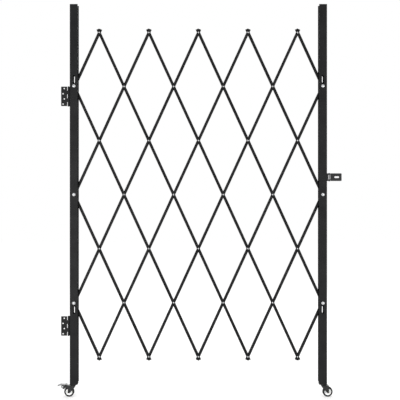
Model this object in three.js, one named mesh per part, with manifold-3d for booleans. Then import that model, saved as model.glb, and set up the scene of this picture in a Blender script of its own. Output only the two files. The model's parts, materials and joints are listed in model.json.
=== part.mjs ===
// A folding steel scissor gate: two channel posts joined by a riveted lattice of channel bars, with two
// butt hinges on the left post, a hinged hasp on the right post and a swivel caster under each post.
// Millimetres. X runs across the gate, Y from its front to its back, Z up from the floor.
import * as THREE from "three";
import { mergeVertices } from "three/addons/utils/BufferGeometryUtils.js";
import Module from "manifold-3d";

const wasm = await Module();
wasm.setup();

// Clearance between pieces that touch or turn in each other, and how far a cutter runs past a face
const gap = 0.3;
const cutPast = 2;

// Lattice: the front bars fall to the right, the rear bars rise to the right
const pinPitch = 301;
const barAngle = THREE.MathUtils.degToRad(65.37);
const columnCount = 10;
const rowCount = 6;
const barCount = 8;
const barWidth = 14.5;
const barDepth = 6;
const barWall = 1.2;
const barCorner = 1;
const endPastRivet = 18;

// Rivets of the lattice
const rivetRadius = 2.5;
const rivetHeadRadius = 4.6;
const rivetHeadHeight = 2;
const rivetTailRadius = 4.1;
const rivetTailHeight = 1.6;

// Posts: channels with the open side towards the lattice
const postWidth = 40;
const postDepth = 38;
const postWall = 2;
const postCorner = 3;
const pivotFromWeb = 21;
const postTop = 1981;
const middlePivotHeight = 1021.5;
const slotClearance = 0.5;
const slotTravel = 49.5;
const cornerCutWidth = 5;
const cornerCutHeight = 8;

// Pivot bolts and barrel nuts that join the bars to the posts
const pivotRadius = 3;
const barrelRadius = 4.5;
const barrelBoreDepth = 11;
const pivotHeadRadius = 8;
const pivotHeadHeight = 3.2;
const pivotRimHeight = 1;
const pivotCrownRadius = 5.6;
const pivotCrownDrop = 1;

// Butt hinges on the left post
const hingeHeight = 98;
const hingeBelowTop = 465.5;
const hingeAboveFoot = 294.5;
const hingeNames = ["upper", "lower"];
const hingeWidth = 37;
const hingePlate = 2;
const knuckleRadius = 5;
const knuckleCount = 5;
const knuckleRelief = 7.4;
const hingePinRadius = 2.5;
const hingePinHead = 4;
const hingePinHeadHeight = 1.5;
const screwHoleRadius = 3.3;
const screwHoleInner = 21;
const screwHoleOuter = 27;
const screwHoleMargin = 10;
const screwHoleCount = 4;

// Hasp on the right post
const haspAbovePivot = 88.1;
const haspHeight = 39;
const haspBaseDepth = 30;
const haspBasePlate = 2.5;
const haspReach = 14;
const haspEarHeight = 4.2;
const haspEarRadius = 5;
const haspPinRadius = 2.5;
const haspKnuckleRadius = 4.7;
const haspStrapPlate = 3;
const haspStrapLength = 62.3;
const haspStrapCorner = 3;
const haspStrapSetBack = 6;
const haspWindowHeight = 22;
const haspWindowReach = 8;
const padlockSlotLength = 25.5;
const padlockSlotHeight = 11;
const padlockSlotCorner = 4;
const padlockSlotFromPin = 37.5;

// Casters
const wheelRadius = 25.5;
const wheelTrail = 19;
const wheelClearance = 3.9;
const tyreHalfWidth = 9.8;
const tyreCrown = 3;
const tyreThickness = 7.5;
const rimWall = 3.6;
const rimSetBack = 0.6;
const hubRadius = 7.5;
const hubStandOut = 2.2;
const wheelWebHalf = 2;
const casterPlateInset = 1;
const casterPlateSetBack = 2;
const casterPlateThickness = 3;
const raceRadius = 15.5;
const raceHeight = 5;
const raceBevel = 1.8;
const kingpinFromWeb = 12;
const kingpinRadius = 4;
const kingpinHeadRadius = 7;
const kingpinHeadHeight = 3;
const kingpinTailRadius = 6.2;
const kingpinTailHeight = 2.4;
const forkWall = 2.2;
const forkCorner = 3;
const forkFrontReach = 12;
const forkRearReach = 24;
const forkSkirt = 6;
const forkToeRadius = 6.2;
const forkToeTurn = THREE.MathUtils.degToRad(150);
const axleRadius = 3;
const axleHeadRadius = 5.8;
const axleHeadHeight = 4;
const axleNutHeight = 5;
const axleThreadPast = 1.5;

// Brake pedal of the left caster
const brakePivotDrop = 5.4;
const brakeClearance = 0.8;
const brakeArmRadius = 5;
const brakePinRadius = 2.5;
const brakePinHead = 4.2;
const brakePinHeadHeight = 1.5;
const pedalPlate = 2.5;
const pedalHalfWidth = 14;
const pedalSeat = 5.8;
const pedalSeatHalf = 6;
const pedalCrestReach = 13.5;
const pedalCrestRise = 3.6;
const pedalHeelReach = 20;
const pedalHeelDrop = 1.6;
const pedalToeReach = 27;
const pedalToeDrop = 5.5;
const camHubRadius = 8;
const camNoseReach = 11.3;
const camNoseRadius = 3;
const camNoseAngle = THREE.MathUtils.degToRad(-60);

// Facets of round forms
const rivetSides = 8;
const boltSides = 12;
const wheelSides = 20;
const knuckleSides = 12;
const holeSides = 8;
const hexagonSides = 6;
const arcFacet = THREE.MathUtils.degToRad(30);

// Worked out from the dimensions above
const halfPitch = pinPitch * Math.cos(barAngle);
const rowPitch = pinPitch * Math.sin(barAngle);
const halfSpan = (halfPitch * columnCount) / 2;
const webBack = gap / 2 + barWall;
const shoulderEnd = webBack + gap;
const flangeFace = postDepth / 2;
const openEdge = postWidth - pivotFromWeb;
const upperRow = 1;
const middleRow = rowCount / 2;
const lowerRow = rowCount - 1;
const rimRadius = wheelRadius - tyreThickness - gap;
const hubHalfLength = tyreHalfWidth + hubStandOut;
const hubFace = hubHalfLength + gap;
const forkHalfWidth = hubFace + forkWall;
const forkTop = 2 * wheelRadius + wheelClearance + forkWall;
const raceBottom = forkTop + gap;
const casterPlateBottom = raceBottom + raceHeight + gap;
const casterPlateTop = casterPlateBottom + casterPlateThickness;
const postBottom = casterPlateTop + gap;
const kingpinOutset = pivotFromWeb - postWall - kingpinFromWeb;
const brakePivotHeight = forkTop - brakePivotDrop;
const brakePivotRise = brakePivotHeight - wheelRadius;
const brakePivotFromAxle = wheelRadius + brakeClearance + camNoseRadius + camNoseReach;
const brakePivotReach = wheelTrail + Math.sqrt(brakePivotFromAxle ** 2 - brakePivotRise ** 2);
const hingeCentres = [postTop - hingeBelowTop, postBottom + hingeAboveFoot];
const screwHoleSpacing = (hingeHeight - 2 * screwHoleMargin) / (screwHoleCount - 1);
const hingePinX = -halfSpan - pivotFromWeb - gap - knuckleRadius;
const hingePinY = flangeFace - hingeWidth;
const haspCentre = middlePivotHeight + haspAbovePivot;

// Solids and geometries

function solidOf(geometry) {
  const bare = geometry.index ? geometry.toNonIndexed() : geometry.clone();
  bare.deleteAttribute("normal");
  bare.deleteAttribute("uv");
  const merged = mergeVertices(bare);
  const corners = merged.index.array;
  const triangles = [];
  for (let i = 0; i < corners.length; i += 3) {
    const [a, b, c] = [corners[i], corners[i + 1], corners[i + 2]];
    if (a !== b && b !== c && c !== a) triangles.push(a, b, c);
  }
  const vertProperties = merged.attributes.position.array;
  const triVerts = new Uint32Array(triangles);
  return new wasm.Manifold(new wasm.Mesh({ numProp: 3, vertProperties, triVerts }));
}

function geometryOf(solid) {
  const mesh = solid.getMesh();
  const geometry = new THREE.BufferGeometry();
  geometry.setAttribute("position", new THREE.BufferAttribute(mesh.vertProperties, 3));
  geometry.setIndex(new THREE.BufferAttribute(mesh.triVerts, 1));
  geometry.computeVertexNormals();
  return geometry;
}

function joined(solids) {
  return solids.reduce((whole, next) => whole.add(next));
}

// A flat shape in X and Z, given thickness from one Y to another
function plateAcross(shape, yFrom, yTo) {
  const depth = yTo - yFrom;
  const plate = new THREE.ExtrudeGeometry(shape, { depth, bevelEnabled: false });
  return solidOf(plate.rotateX(Math.PI / 2).translate(0, yTo, 0));
}

// A flat shape in X and Y, given height from one Z to another
function plateUpright(shape, zFrom, zTo) {
  const depth = zTo - zFrom;
  const plate = new THREE.ExtrudeGeometry(shape, { depth, bevelEnabled: false });
  return solidOf(plate.translate(0, 0, zFrom));
}

function rodAcross(radius, yFrom, yTo, sides) {
  const rod = new THREE.CylinderGeometry(radius, radius, yTo - yFrom, sides);
  return solidOf(rod.translate(0, (yFrom + yTo) / 2, 0));
}

function rodUpright(radius, zFrom, zTo, sides) {
  const rod = new THREE.CylinderGeometry(radius, radius, zTo - zFrom, sides).rotateX(Math.PI / 2);
  return solidOf(rod.translate(0, 0, (zFrom + zTo) / 2));
}

// A turned form: each pair is a radius and a place along the axis, from the low end to the high one
function turned(pairs, sides) {
  const profile = pairs.map(([radius, along]) => new THREE.Vector2(radius, along));
  return solidOf(new THREE.LatheGeometry(profile, sides));
}

function turnedUpright(pairs, sides) {
  const profile = pairs.map(([radius, along]) => new THREE.Vector2(radius, along));
  return solidOf(new THREE.LatheGeometry(profile, sides).rotateX(Math.PI / 2));
}

function moved(solid, x, y, z) {
  return solidOf(geometryOf(solid).translate(x, y, z));
}

function outline(pairs) {
  return new THREE.Shape(pairs.map(([across, up]) => new THREE.Vector2(across, up)));
}

// Points along an arc, from one angle to another
function arc(across, up, radius, from, to, steps = Math.round((to - from) / arcFacet)) {
  return Array.from({ length: steps + 1 }, (unused, step) => {
    const angle = from + ((to - from) * step) / steps;
    return [across + radius * Math.cos(angle), up + radius * Math.sin(angle)];
  });
}

function roundHole(across, up, radius) {
  return outline(arc(across, up, radius, 0, 2 * Math.PI, holeSides).slice(1));
}

function boxShape(left, right, low, high) {
  return outline([
    [left, low],
    [right, low],
    [right, high],
    [left, high],
  ]);
}

// A rectangle with all four corners rounded
function roundedShape(left, right, low, high, radius) {
  return outline([
    ...arc(right - radius, low + radius, radius, -Math.PI / 2, 0),
    ...arc(right - radius, high - radius, radius, 0, Math.PI / 2),
    ...arc(left + radius, high - radius, radius, Math.PI / 2, Math.PI),
    ...arc(left + radius, low + radius, radius, -Math.PI, -Math.PI / 2),
  ]);
}

// A channel section: its web's back at v = 0, its two flanges towards -v
function channelShape(width, depth, wall, corner) {
  const half = width / 2;
  const inner = half - wall;
  return outline([
    [-half, -depth],
    [-inner, -depth],
    [-inner, -wall],
    [inner, -wall],
    [inner, -depth],
    [half, -depth],
    ...arc(half - corner, -corner, corner, 0, Math.PI / 2),
    ...arc(corner - half, -corner, corner, Math.PI / 2, Math.PI),
  ]);
}

// Materials

function powderCoat() {
  return new THREE.MeshStandardMaterial({ color: 0x2b2c2e, roughness: 0.5, metalness: 0.3 });
}

function zincPlate() {
  return new THREE.MeshStandardMaterial({ color: 0xc9cbcc, roughness: 0.3, metalness: 0.9 });
}

function wheelPlastic() {
  return new THREE.MeshStandardMaterial({ color: 0xe4e5e3, roughness: 0.45, metalness: 0 });
}

function tyreRubber() {
  return new THREE.MeshStandardMaterial({ color: 0x1c1c1d, roughness: 0.75, metalness: 0 });
}

function named(name, solid, material) {
  const mesh = new THREE.Mesh(geometryOf(solid), material);
  mesh.name = name;
  return mesh;
}

// Lattice

// Where the lattice pivot of a column and a row lies
function pivotAt(column, row) {
  const x = (column - columnCount / 2) * halfPitch;
  const z = middlePivotHeight + (rowCount / 2 - row) * rowPitch;
  return new THREE.Vector3(x, 0, z);
}

// The pivots along a bar as pairs of column and row; a front bar keeps column - row, a rear bar column + row
function pivotsOf(bar, front) {
  const constant = front ? 2 * bar - barCount + 1 : 2 * bar - 1;
  const pivots = [];
  for (let row = 0; row <= rowCount; row += 1) {
    const column = front ? constant + row : constant - row;
    if (column >= 0 && column <= columnCount) pivots.push([column, row]);
  }
  return front ? pivots : pivots.reverse();
}

function isAtPost([column]) {
  return column === 0 || column === columnCount;
}

// A length of bar along +X, its web's back at y = -gap / 2, with its first pivot at the origin
function barChannel(pivots) {
  const depth = (pivots.length - 1) * pinPitch + 2 * endPastRivet;
  const section = channelShape(barWidth, barDepth, barWall, barCorner);
  const bar = new THREE.ExtrudeGeometry(section, { depth, bevelEnabled: false });
  return solidOf(bar.rotateY(Math.PI / 2).translate(-endPastRivet, -gap / 2, 0));
}

// One rivet: a low domed head in the front channel, its shank through both webs, its tail behind the rear web
function rivetSolid() {
  const headFace = -webBack;
  const tailFace = webBack + gap;
  const pairs = [
    [0, headFace - rivetHeadHeight],
    [rivetHeadRadius * Math.SQRT1_2, headFace - rivetHeadHeight * Math.SQRT1_2],
    [rivetHeadRadius, headFace],
    [rivetRadius, headFace],
    [rivetRadius, tailFace],
    [rivetTailRadius, tailFace],
    [rivetTailRadius, tailFace + rivetTailHeight / 2],
    [0, tailFace + rivetTailHeight],
  ];
  return turned(pairs, rivetSides);
}

function holesThrough(pivots, yFrom, yTo) {
  return pivots.map((pivot, step) => {
    const [radius, sides] = isAtPost(pivot) ? [pivotRadius, boltSides] : [rivetRadius, rivetSides];
    return moved(rodAcross(radius + gap, yFrom, yTo, sides), step * pinPitch, 0, 0);
  });
}

// A front bar carries the rivets that join it to the rear bars, and is drilled where a post bolt passes
function frontBarSolid(pivots) {
  const bolted = holesThrough(pivots, -webBack - cutPast, cutPast).filter((hole, step) => isAtPost(pivots[step]));
  const drilled = bolted.reduce((bar, hole) => bar.subtract(hole), barChannel(pivots));
  const rivets = pivots.flatMap((pivot, step) => {
    return isAtPost(pivot) ? [] : [moved(rivetSolid(), step * pinPitch, 0, 0)];
  });
  return joined([drilled, ...rivets]);
}

// A rear bar faces back, so its channel is turned over about its length, and it is drilled at every pivot
function rearBarSolid(pivots) {
  const channel = solidOf(geometryOf(barChannel(pivots)).rotateX(Math.PI));
  return holesThrough(pivots, -cutPast, webBack + cutPast).reduce((bar, hole) => bar.subtract(hole), channel);
}

function latticeBar(bar, front) {
  const pivots = pivotsOf(bar, front);
  const solid = front ? frontBarSolid(pivots) : rearBarSolid(pivots);
  const mesh = named(`${front ? "front" : "rear"}_bar_${bar}`, solid, powderCoat());
  mesh.position.copy(pivotAt(...pivots[0]));
  mesh.rotation.y = front ? barAngle : -barAngle;
  return mesh;
}

function lattice() {
  const group = new THREE.Group();
  for (let bar = 1; bar <= barCount; bar += 1) {
    group.add(latticeBar(bar, true));
    group.add(latticeBar(bar, false));
  }
  return group;
}

// Posts and their pivot bolts, each about the post's own pivot line

function slotShape(zNear, zFar) {
  const radius = barrelRadius + slotClearance;
  return outline([
    ...arc(0, Math.min(zNear, zFar), radius, -Math.PI, 0),
    ...arc(0, Math.max(zNear, zFar), radius, 0, Math.PI),
  ]);
}

// The left post: its web outside at -X, its flanges drilled for the middle bolt and slotted for the other two
function postSolid() {
  const section = channelShape(postDepth, postWidth, postWall, postCorner);
  const depth = postTop - postBottom;
  const channel = new THREE.ExtrudeGeometry(section, { depth, bevelEnabled: false });
  const post = solidOf(channel.rotateZ(Math.PI / 2).translate(-pivotFromWeb, 0, postBottom));
  const front = -flangeFace - cutPast;
  const back = flangeFace + cutPast;
  const upper = pivotAt(0, upperRow).z;
  const lower = pivotAt(0, lowerRow).z;
  const cutters = [
    plateAcross(slotShape(upper, upper + slotTravel), front, back),
    plateAcross(slotShape(lower, lower - slotTravel), front, back),
    moved(rodAcross(barrelRadius + gap, front, back, boltSides), 0, 0, middlePivotHeight),
    plateAcross(cornerCutShape(), front, back),
  ];
  return cutters.reduce((left, cutter) => left.subtract(cutter), post);
}

// The corner taken off each flange at the foot of the post, on the open side
function cornerCutShape() {
  return outline([
    [openEdge - cornerCutWidth, postBottom],
    [openEdge - cornerCutWidth, postBottom - cutPast],
    [openEdge + cutPast, postBottom - cutPast],
    [openEdge + cutPast, postBottom + cornerCutHeight],
    [openEdge, postBottom + cornerCutHeight],
  ]);
}

// The bolt's domed head and shoulder lie in the front flange, its thin shank passes both bars
function pivotBoltSolid() {
  const underHead = -flangeFace - gap;
  const crown = underHead - pivotHeadHeight;
  const pairs = [
    [0, crown],
    [pivotCrownRadius, crown + pivotCrownDrop],
    [pivotHeadRadius, underHead - pivotRimHeight],
    [pivotHeadRadius, underHead],
    [barrelRadius, underHead],
    [barrelRadius, -shoulderEnd],
    [pivotRadius, -shoulderEnd],
    [pivotRadius, shoulderEnd + barrelBoreDepth - gap],
    [0, shoulderEnd + barrelBoreDepth - gap],
  ];
  return turned(pairs, boltSides);
}

// The barrel nut takes the shank's end in its bore and closes the pivot behind the rear flange
function barrelNutSolid() {
  const underHead = flangeFace + gap;
  const crown = underHead + pivotHeadHeight;
  const pairs = [
    [0, shoulderEnd + barrelBoreDepth],
    [pivotRadius + gap, shoulderEnd + barrelBoreDepth],
    [pivotRadius + gap, shoulderEnd],
    [barrelRadius, shoulderEnd],
    [barrelRadius, underHead],
    [pivotHeadRadius, underHead],
    [pivotHeadRadius, underHead + pivotRimHeight],
    [pivotCrownRadius, crown - pivotCrownDrop],
    [0, crown],
  ];
  return turned(pairs, boltSides);
}

function postPivot(name, column, row) {
  const group = new THREE.Group();
  group.add(named(`${name}_pivot_bolt`, pivotBoltSolid(), zincPlate()));
  group.add(named(`${name}_pivot_nut`, barrelNutSolid(), zincPlate()));
  group.position.copy(pivotAt(column, row));
  return group;
}

function postWithPivots(side, column) {
  const group = new THREE.Group();
  const post = named(`${side}_post`, postSolid(), powderCoat());
  post.position.x = pivotAt(column, middleRow).x;
  post.rotation.z = column === 0 ? 0 : Math.PI;
  group.add(post);
  group.add(postPivot(`${side}_upper`, column, upperRow));
  group.add(postPivot(`${side}_middle`, column, middleRow));
  group.add(postPivot(`${side}_lower`, column, lowerRow));
  return group;
}

// Butt hinges, each about its own pin

// The span of one knuckle along the pin: shorter than its share by a clearance, or longer for a notch
function knuckleSpan(index, clearance) {
  const length = hingeHeight / knuckleCount;
  const low = index * length - hingeHeight / 2;
  const bottom = index === 0 ? low : low + clearance / 2;
  const top = index === knuckleCount - 1 ? low + length : low + length - clearance / 2;
  return [bottom, top];
}

// The knuckles of one leaf are every second one, from the first one given
function isOwnKnuckle(index, first) {
  return index % 2 === first;
}

// The leaf's plate towards -X, notched where the other leaf's knuckles turn
function leafShape(firstKnuckle) {
  const points = [[-hingeWidth, -hingeHeight / 2]];
  for (let index = 0; index < knuckleCount; index += 1) {
    const own = isOwnKnuckle(index, firstKnuckle);
    const [low, high] = knuckleSpan(index, own ? gap : -gap);
    const edge = own ? 0 : -knuckleRelief;
    points.push([edge, low], [edge, high]);
  }
  points.push([-hingeWidth, hingeHeight / 2]);
  const shape = outline(points);
  for (let hole = 0; hole < screwHoleCount; hole += 1) {
    const x = hole % 2 === 0 ? -screwHoleOuter : -screwHoleInner;
    const z = (hole - (screwHoleCount - 1) / 2) * screwHoleSpacing;
    shape.holes.push(roundHole(x, z, screwHoleRadius));
  }
  return shape;
}

// A leaf whose outer face is flush with the barrel's side, at y = -knuckleRadius
function hingeLeafSolid(firstKnuckle) {
  const solids = [plateAcross(leafShape(firstKnuckle), -knuckleRadius, hingePlate - knuckleRadius)];
  for (let index = firstKnuckle; index < knuckleCount; index += 2) {
    solids.push(rodUpright(knuckleRadius, ...knuckleSpan(index, gap), knuckleSides));
  }
  const reach = hingeHeight / 2 + cutPast;
  return joined(solids).subtract(rodUpright(hingePinRadius + gap, -reach, reach, knuckleSides));
}

// A pin with a flat head at each end, as set in a pair of knuckles
function headedPin(radius, headRadius, headHeight, halfLength) {
  const underHead = halfLength + gap;
  const end = underHead + headHeight;
  const pairs = [
    [0, -end],
    [headRadius, -end],
    [headRadius, -underHead],
    [radius, -underHead],
    [radius, underHead],
    [headRadius, underHead],
    [headRadius, end],
    [0, end],
  ];
  return turnedUpright(pairs, knuckleSides);
}

// The wall leaf stands open beside the post; the gate leaf lies on the post's web
function buttHinge(name, height) {
  const group = new THREE.Group();
  const wallLeaf = named(`${name}_wall_leaf`, hingeLeafSolid(1), powderCoat());
  const gateLeaf = named(`${name}_gate_leaf`, hingeLeafSolid(0), powderCoat());
  gateLeaf.rotation.set(Math.PI, 0, -Math.PI / 2, "ZYX");
  const pinSolid = headedPin(hingePinRadius, hingePinHead, hingePinHeadHeight, hingeHeight / 2);
  const pin = named(`${name}_hinge_pin`, pinSolid, powderCoat());
  group.add(wallLeaf, gateLeaf, pin);
  group.position.set(hingePinX, hingePinY, height);
  return group;
}

// Hasp, about its own pin

function haspBaseSolid() {
  const plateRight = haspBasePlate - haspReach;
  const plate = boxShape(-haspReach, plateRight, -haspBaseDepth / 2, haspBaseDepth / 2);
  const earRoot = plateRight - haspBasePlate / 2;
  const ear = outline([
    [earRoot, haspEarRadius],
    [earRoot, -haspEarRadius],
    ...arc(0, 0, haspEarRadius, -Math.PI / 2, Math.PI / 2),
  ]);
  const top = haspHeight / 2;
  const solids = [
    plateUpright(plate, -top, top),
    plateUpright(ear, -top, haspEarHeight - top),
    plateUpright(ear, top - haspEarHeight, top),
  ];
  return joined(solids).subtract(rodUpright(haspPinRadius + gap, -top - cutPast, top + cutPast, knuckleSides));
}

// The strap's plate towards +X, with the window beside its pin and the slot for a padlock
function haspStrapShape() {
  const armTop = haspHeight / 2 - haspEarHeight - gap;
  const top = haspHeight / 2;
  const windowTop = haspWindowHeight / 2;
  const corner = haspStrapCorner;
  const shape = outline([
    [0, -armTop],
    [haspStrapSetBack, -armTop],
    [haspStrapSetBack, -top],
    ...arc(haspStrapLength - corner, corner - top, corner, -Math.PI / 2, 0),
    ...arc(haspStrapLength - corner, top - corner, corner, 0, Math.PI / 2),
    [haspStrapSetBack, top],
    [haspStrapSetBack, armTop],
    [0, armTop],
    [0, windowTop],
    [haspWindowReach, windowTop],
    [haspWindowReach, -windowTop],
    [0, -windowTop],
  ]);
  shape.holes.push(padlockSlotShape());
  return shape;
}

function padlockSlotShape() {
  const left = padlockSlotFromPin - padlockSlotLength / 2;
  const right = padlockSlotFromPin + padlockSlotLength / 2;
  return roundedShape(left, right, -padlockSlotHeight / 2, padlockSlotHeight / 2, padlockSlotCorner);
}

function haspStrapSolid() {
  const armTop = haspHeight / 2 - haspEarHeight - gap;
  const windowTop = haspWindowHeight / 2;
  const plate = plateAcross(haspStrapShape(), -haspStrapPlate / 2, haspStrapPlate / 2);
  const knuckles = [
    rodUpright(haspKnuckleRadius, -armTop, -windowTop, knuckleSides),
    rodUpright(haspKnuckleRadius, windowTop, armTop, knuckleSides),
  ];
  const bore = rodUpright(haspPinRadius + gap, -armTop - cutPast, armTop + cutPast, knuckleSides);
  return joined([plate, ...knuckles]).subtract(bore);
}

function hasp() {
  const group = new THREE.Group();
  const pin = headedPin(haspPinRadius, hingePinHead, hingePinHeadHeight, haspHeight / 2);
  group.add(named("hasp_base", haspBaseSolid(), powderCoat()));
  group.add(named("hasp_strap", haspStrapSolid(), powderCoat()));
  group.add(named("hasp_pin", pin, powderCoat()));
  group.position.set(halfSpan + pivotFromWeb + gap + haspReach, 0, haspCentre);
  return group;
}

// Casters, each about its swivel axis near the post's web, trailing towards -X

function casterPlateSolid() {
  const outer = kingpinOutset - pivotFromWeb + casterPlateInset;
  const inner = kingpinOutset + openEdge - casterPlateSetBack;
  const half = flangeFace - casterPlateInset;
  const plate = plateUpright(boxShape(outer, inner, -half, half), casterPlateBottom, casterPlateTop);
  const past = casterPlateTop + cutPast;
  return plate.subtract(rodUpright(kingpinRadius + gap, casterPlateBottom - cutPast, past, knuckleSides));
}

function raceSolid() {
  const top = raceBottom + raceHeight;
  const inner = kingpinRadius + gap;
  const pairs = [
    [inner, raceBottom],
    [raceRadius - raceBevel, raceBottom],
    [raceRadius, raceBottom + raceBevel],
    [raceRadius, top - raceBevel],
    [raceRadius - raceBevel, top],
    [inner, top],
    [inner, raceBottom],
  ];
  return turnedUpright(pairs, wheelSides);
}

// The kingpin's head lies on the caster plate inside the post, its tail under the fork
function kingpinSolid() {
  const headBase = casterPlateTop + gap;
  const tailTop = forkTop - forkWall - gap;
  const pairs = [
    [0, tailTop - kingpinTailHeight],
    [kingpinTailRadius, tailTop - kingpinTailHeight],
    [kingpinTailRadius, tailTop],
    [kingpinRadius, tailTop],
    [kingpinRadius, headBase],
    [kingpinHeadRadius, headBase],
    [kingpinHeadRadius, headBase + kingpinHeadHeight],
    [0, headBase + kingpinHeadHeight],
  ];
  return turnedUpright(pairs, boltSides);
}

// The fork's side view: a skirt under its top, tapering to a round toe at the axle
function forkSideShape(braked) {
  return outline([
    [forkFrontReach, forkTop],
    [-forkRearReach, forkTop],
    ...(braked ? brakeArmEnd() : []),
    [-forkRearReach, forkTop - 2 * forkSkirt],
    ...arc(-wheelTrail, wheelRadius, forkToeRadius, Math.PI, Math.PI + forkToeTurn),
    [forkFrontReach, forkTop - forkSkirt],
  ]);
}

// The end of the arms that carry the brake pedal, round about the pedal's pin
function brakeArmEnd() {
  return arc(-brakePivotReach, brakePivotHeight, brakeArmRadius, Math.PI / 2, (3 * Math.PI) / 2);
}

function forkSolid(braked) {
  const across = forkHalfWidth;
  const section = channelShape(2 * across, forkTop, forkWall, forkCorner);
  const length = 2 * (brakePivotReach + brakeArmRadius + cutPast);
  const bent = new THREE.ExtrudeGeometry(section, { depth: length, bevelEnabled: false });
  bent.rotateX(Math.PI / 2).rotateZ(Math.PI / 2).translate(-length / 2, 0, forkTop);
  const side = plateAcross(forkSideShape(braked), -across - cutPast, across + cutPast);
  const body = solidOf(bent).intersect(side);
  const cutters = [
    rodUpright(kingpinRadius + gap, forkTop - forkWall - cutPast, forkTop + cutPast, knuckleSides),
    moved(rodAcross(axleRadius + gap, -across - cutPast, across + cutPast, boltSides), -wheelTrail, 0, wheelRadius),
  ];
  if (braked) cutters.push(pedalBay(), brakePinHole(across + cutPast));
  return cutters.reduce((left, cutter) => left.subtract(cutter), body);
}

// The opening in the fork's top wall above the wheel, where the pedal works between the arms
function pedalBay() {
  const left = -brakePivotReach - brakeArmRadius - cutPast;
  const bay = boxShape(left, -raceRadius - forkWall, -hubFace, hubFace);
  return plateUpright(bay, forkTop - forkWall - cutPast, forkTop + cutPast);
}

function brakePinHole(reach) {
  const hole = rodAcross(brakePinRadius + gap, -reach, reach, knuckleSides);
  return moved(hole, -brakePivotReach, 0, brakePivotHeight);
}

// The wheel turns about Y: a hub, a thin web and a rim that the tyre sits on
function wheelCoreSolid() {
  const bore = axleRadius + gap;
  const rimInnerRadius = rimRadius - rimWall;
  const rimHalfWidth = tyreHalfWidth - rimSetBack;
  const pairs = [
    [bore, -hubHalfLength],
    [hubRadius, -hubHalfLength],
    [hubRadius, -wheelWebHalf],
    [rimInnerRadius, -wheelWebHalf],
    [rimInnerRadius, -rimHalfWidth],
    [rimRadius, -rimHalfWidth],
    [rimRadius, rimHalfWidth],
    [rimInnerRadius, rimHalfWidth],
    [rimInnerRadius, wheelWebHalf],
    [hubRadius, wheelWebHalf],
    [hubRadius, hubHalfLength],
    [bore, hubHalfLength],
    [bore, -hubHalfLength],
  ];
  return turned(pairs, wheelSides);
}

function tyreSolid() {
  const inner = rimRadius + gap;
  const shoulder = tyreHalfWidth - tyreCrown;
  const pairs = [
    [inner, -tyreHalfWidth],
    [wheelRadius - tyreCrown, -tyreHalfWidth],
    [wheelRadius, -shoulder],
    [wheelRadius, shoulder],
    [wheelRadius - tyreCrown, tyreHalfWidth],
    [inner, tyreHalfWidth],
    [inner, -tyreHalfWidth],
  ];
  return turned(pairs, wheelSides);
}

// The axle bolt's hexagon head lies on the front leg of the fork
function axleBoltSolid() {
  const seat = forkHalfWidth + gap;
  const head = rodAcross(axleHeadRadius, -seat - axleHeadHeight, -seat, hexagonSides);
  const shank = rodAcross(axleRadius, -seat - axleHeadHeight / 2, seat + axleNutHeight + axleThreadPast, boltSides);
  return head.add(shank);
}

function axleNutSolid() {
  const seat = forkHalfWidth + gap;
  const nut = rodAcross(axleHeadRadius, seat, seat + axleNutHeight, hexagonSides);
  return nut.subtract(rodAcross(axleRadius + gap, seat - cutPast, seat + axleNutHeight + cutPast, boltSides));
}

// The pedal's pads: a plate with a raised crest each side of its seat, the outer pad dipping to the toe
function pedalPadShape() {
  const low = pedalSeat;
  const crest = low + pedalCrestRise;
  const pairs = [
    [-pedalToeReach, crest - pedalToeDrop],
    [-pedalCrestReach, crest],
    [-pedalSeatHalf, low],
    [pedalSeatHalf, low],
    [pedalCrestReach, crest],
    [pedalHeelReach, crest - pedalHeelDrop],
  ];
  const upper = pairs.map(([x, z]) => [x, z + pedalPlate]).reverse();
  return outline([...pairs, ...upper]);
}

// The cam under the seat, its nose pointing at the tyre when the toe is pressed
function camShape() {
  const noseX = camNoseReach * Math.cos(camNoseAngle);
  const noseZ = camNoseReach * Math.sin(camNoseAngle);
  const lean = Math.acos((camHubRadius - camNoseRadius) / camNoseReach);
  return outline([
    ...arc(0, 0, camHubRadius, camNoseAngle + lean, camNoseAngle - lean + 2 * Math.PI),
    ...arc(noseX, noseZ, camNoseRadius, camNoseAngle - lean, camNoseAngle + lean),
  ]);
}

function brakePedalSolid() {
  const pads = plateAcross(pedalPadShape(), -pedalHalfWidth, pedalHalfWidth);
  const camHalf = hubFace - gap;
  const cam = plateAcross(camShape(), -camHalf, camHalf);
  const bore = rodAcross(brakePinRadius + gap, -camHalf - cutPast, camHalf + cutPast, knuckleSides);
  return pads.add(cam).subtract(bore);
}

function brakePinSolid() {
  const upright = headedPin(brakePinRadius, brakePinHead, brakePinHeadHeight, forkHalfWidth);
  return solidOf(geometryOf(upright).rotateX(Math.PI / 2));
}

function brake() {
  const group = new THREE.Group();
  group.add(named("brake_pedal", brakePedalSolid(), powderCoat()));
  group.add(named("brake_pin", brakePinSolid(), zincPlate()));
  group.position.set(-brakePivotReach, 0, brakePivotHeight);
  return group;
}

function wheel(side) {
  const group = new THREE.Group();
  group.add(named(`${side}_wheel_core`, wheelCoreSolid(), wheelPlastic()));
  group.add(named(`${side}_tyre`, tyreSolid(), tyreRubber()));
  group.add(named(`${side}_axle_bolt`, axleBoltSolid(), powderCoat()));
  group.add(named(`${side}_axle_nut`, axleNutSolid(), powderCoat()));
  group.position.set(-wheelTrail, 0, wheelRadius);
  return group;
}

function caster(side, braked) {
  const group = new THREE.Group();
  group.add(named(`${side}_caster_plate`, casterPlateSolid(), powderCoat()));
  group.add(named(`${side}_swivel_race`, raceSolid(), powderCoat()));
  group.add(named(`${side}_kingpin`, kingpinSolid(), zincPlate()));
  group.add(named(`${side}_fork`, forkSolid(braked), powderCoat()));
  group.add(wheel(side));
  if (braked) group.add(brake());
  return group;
}

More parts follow.
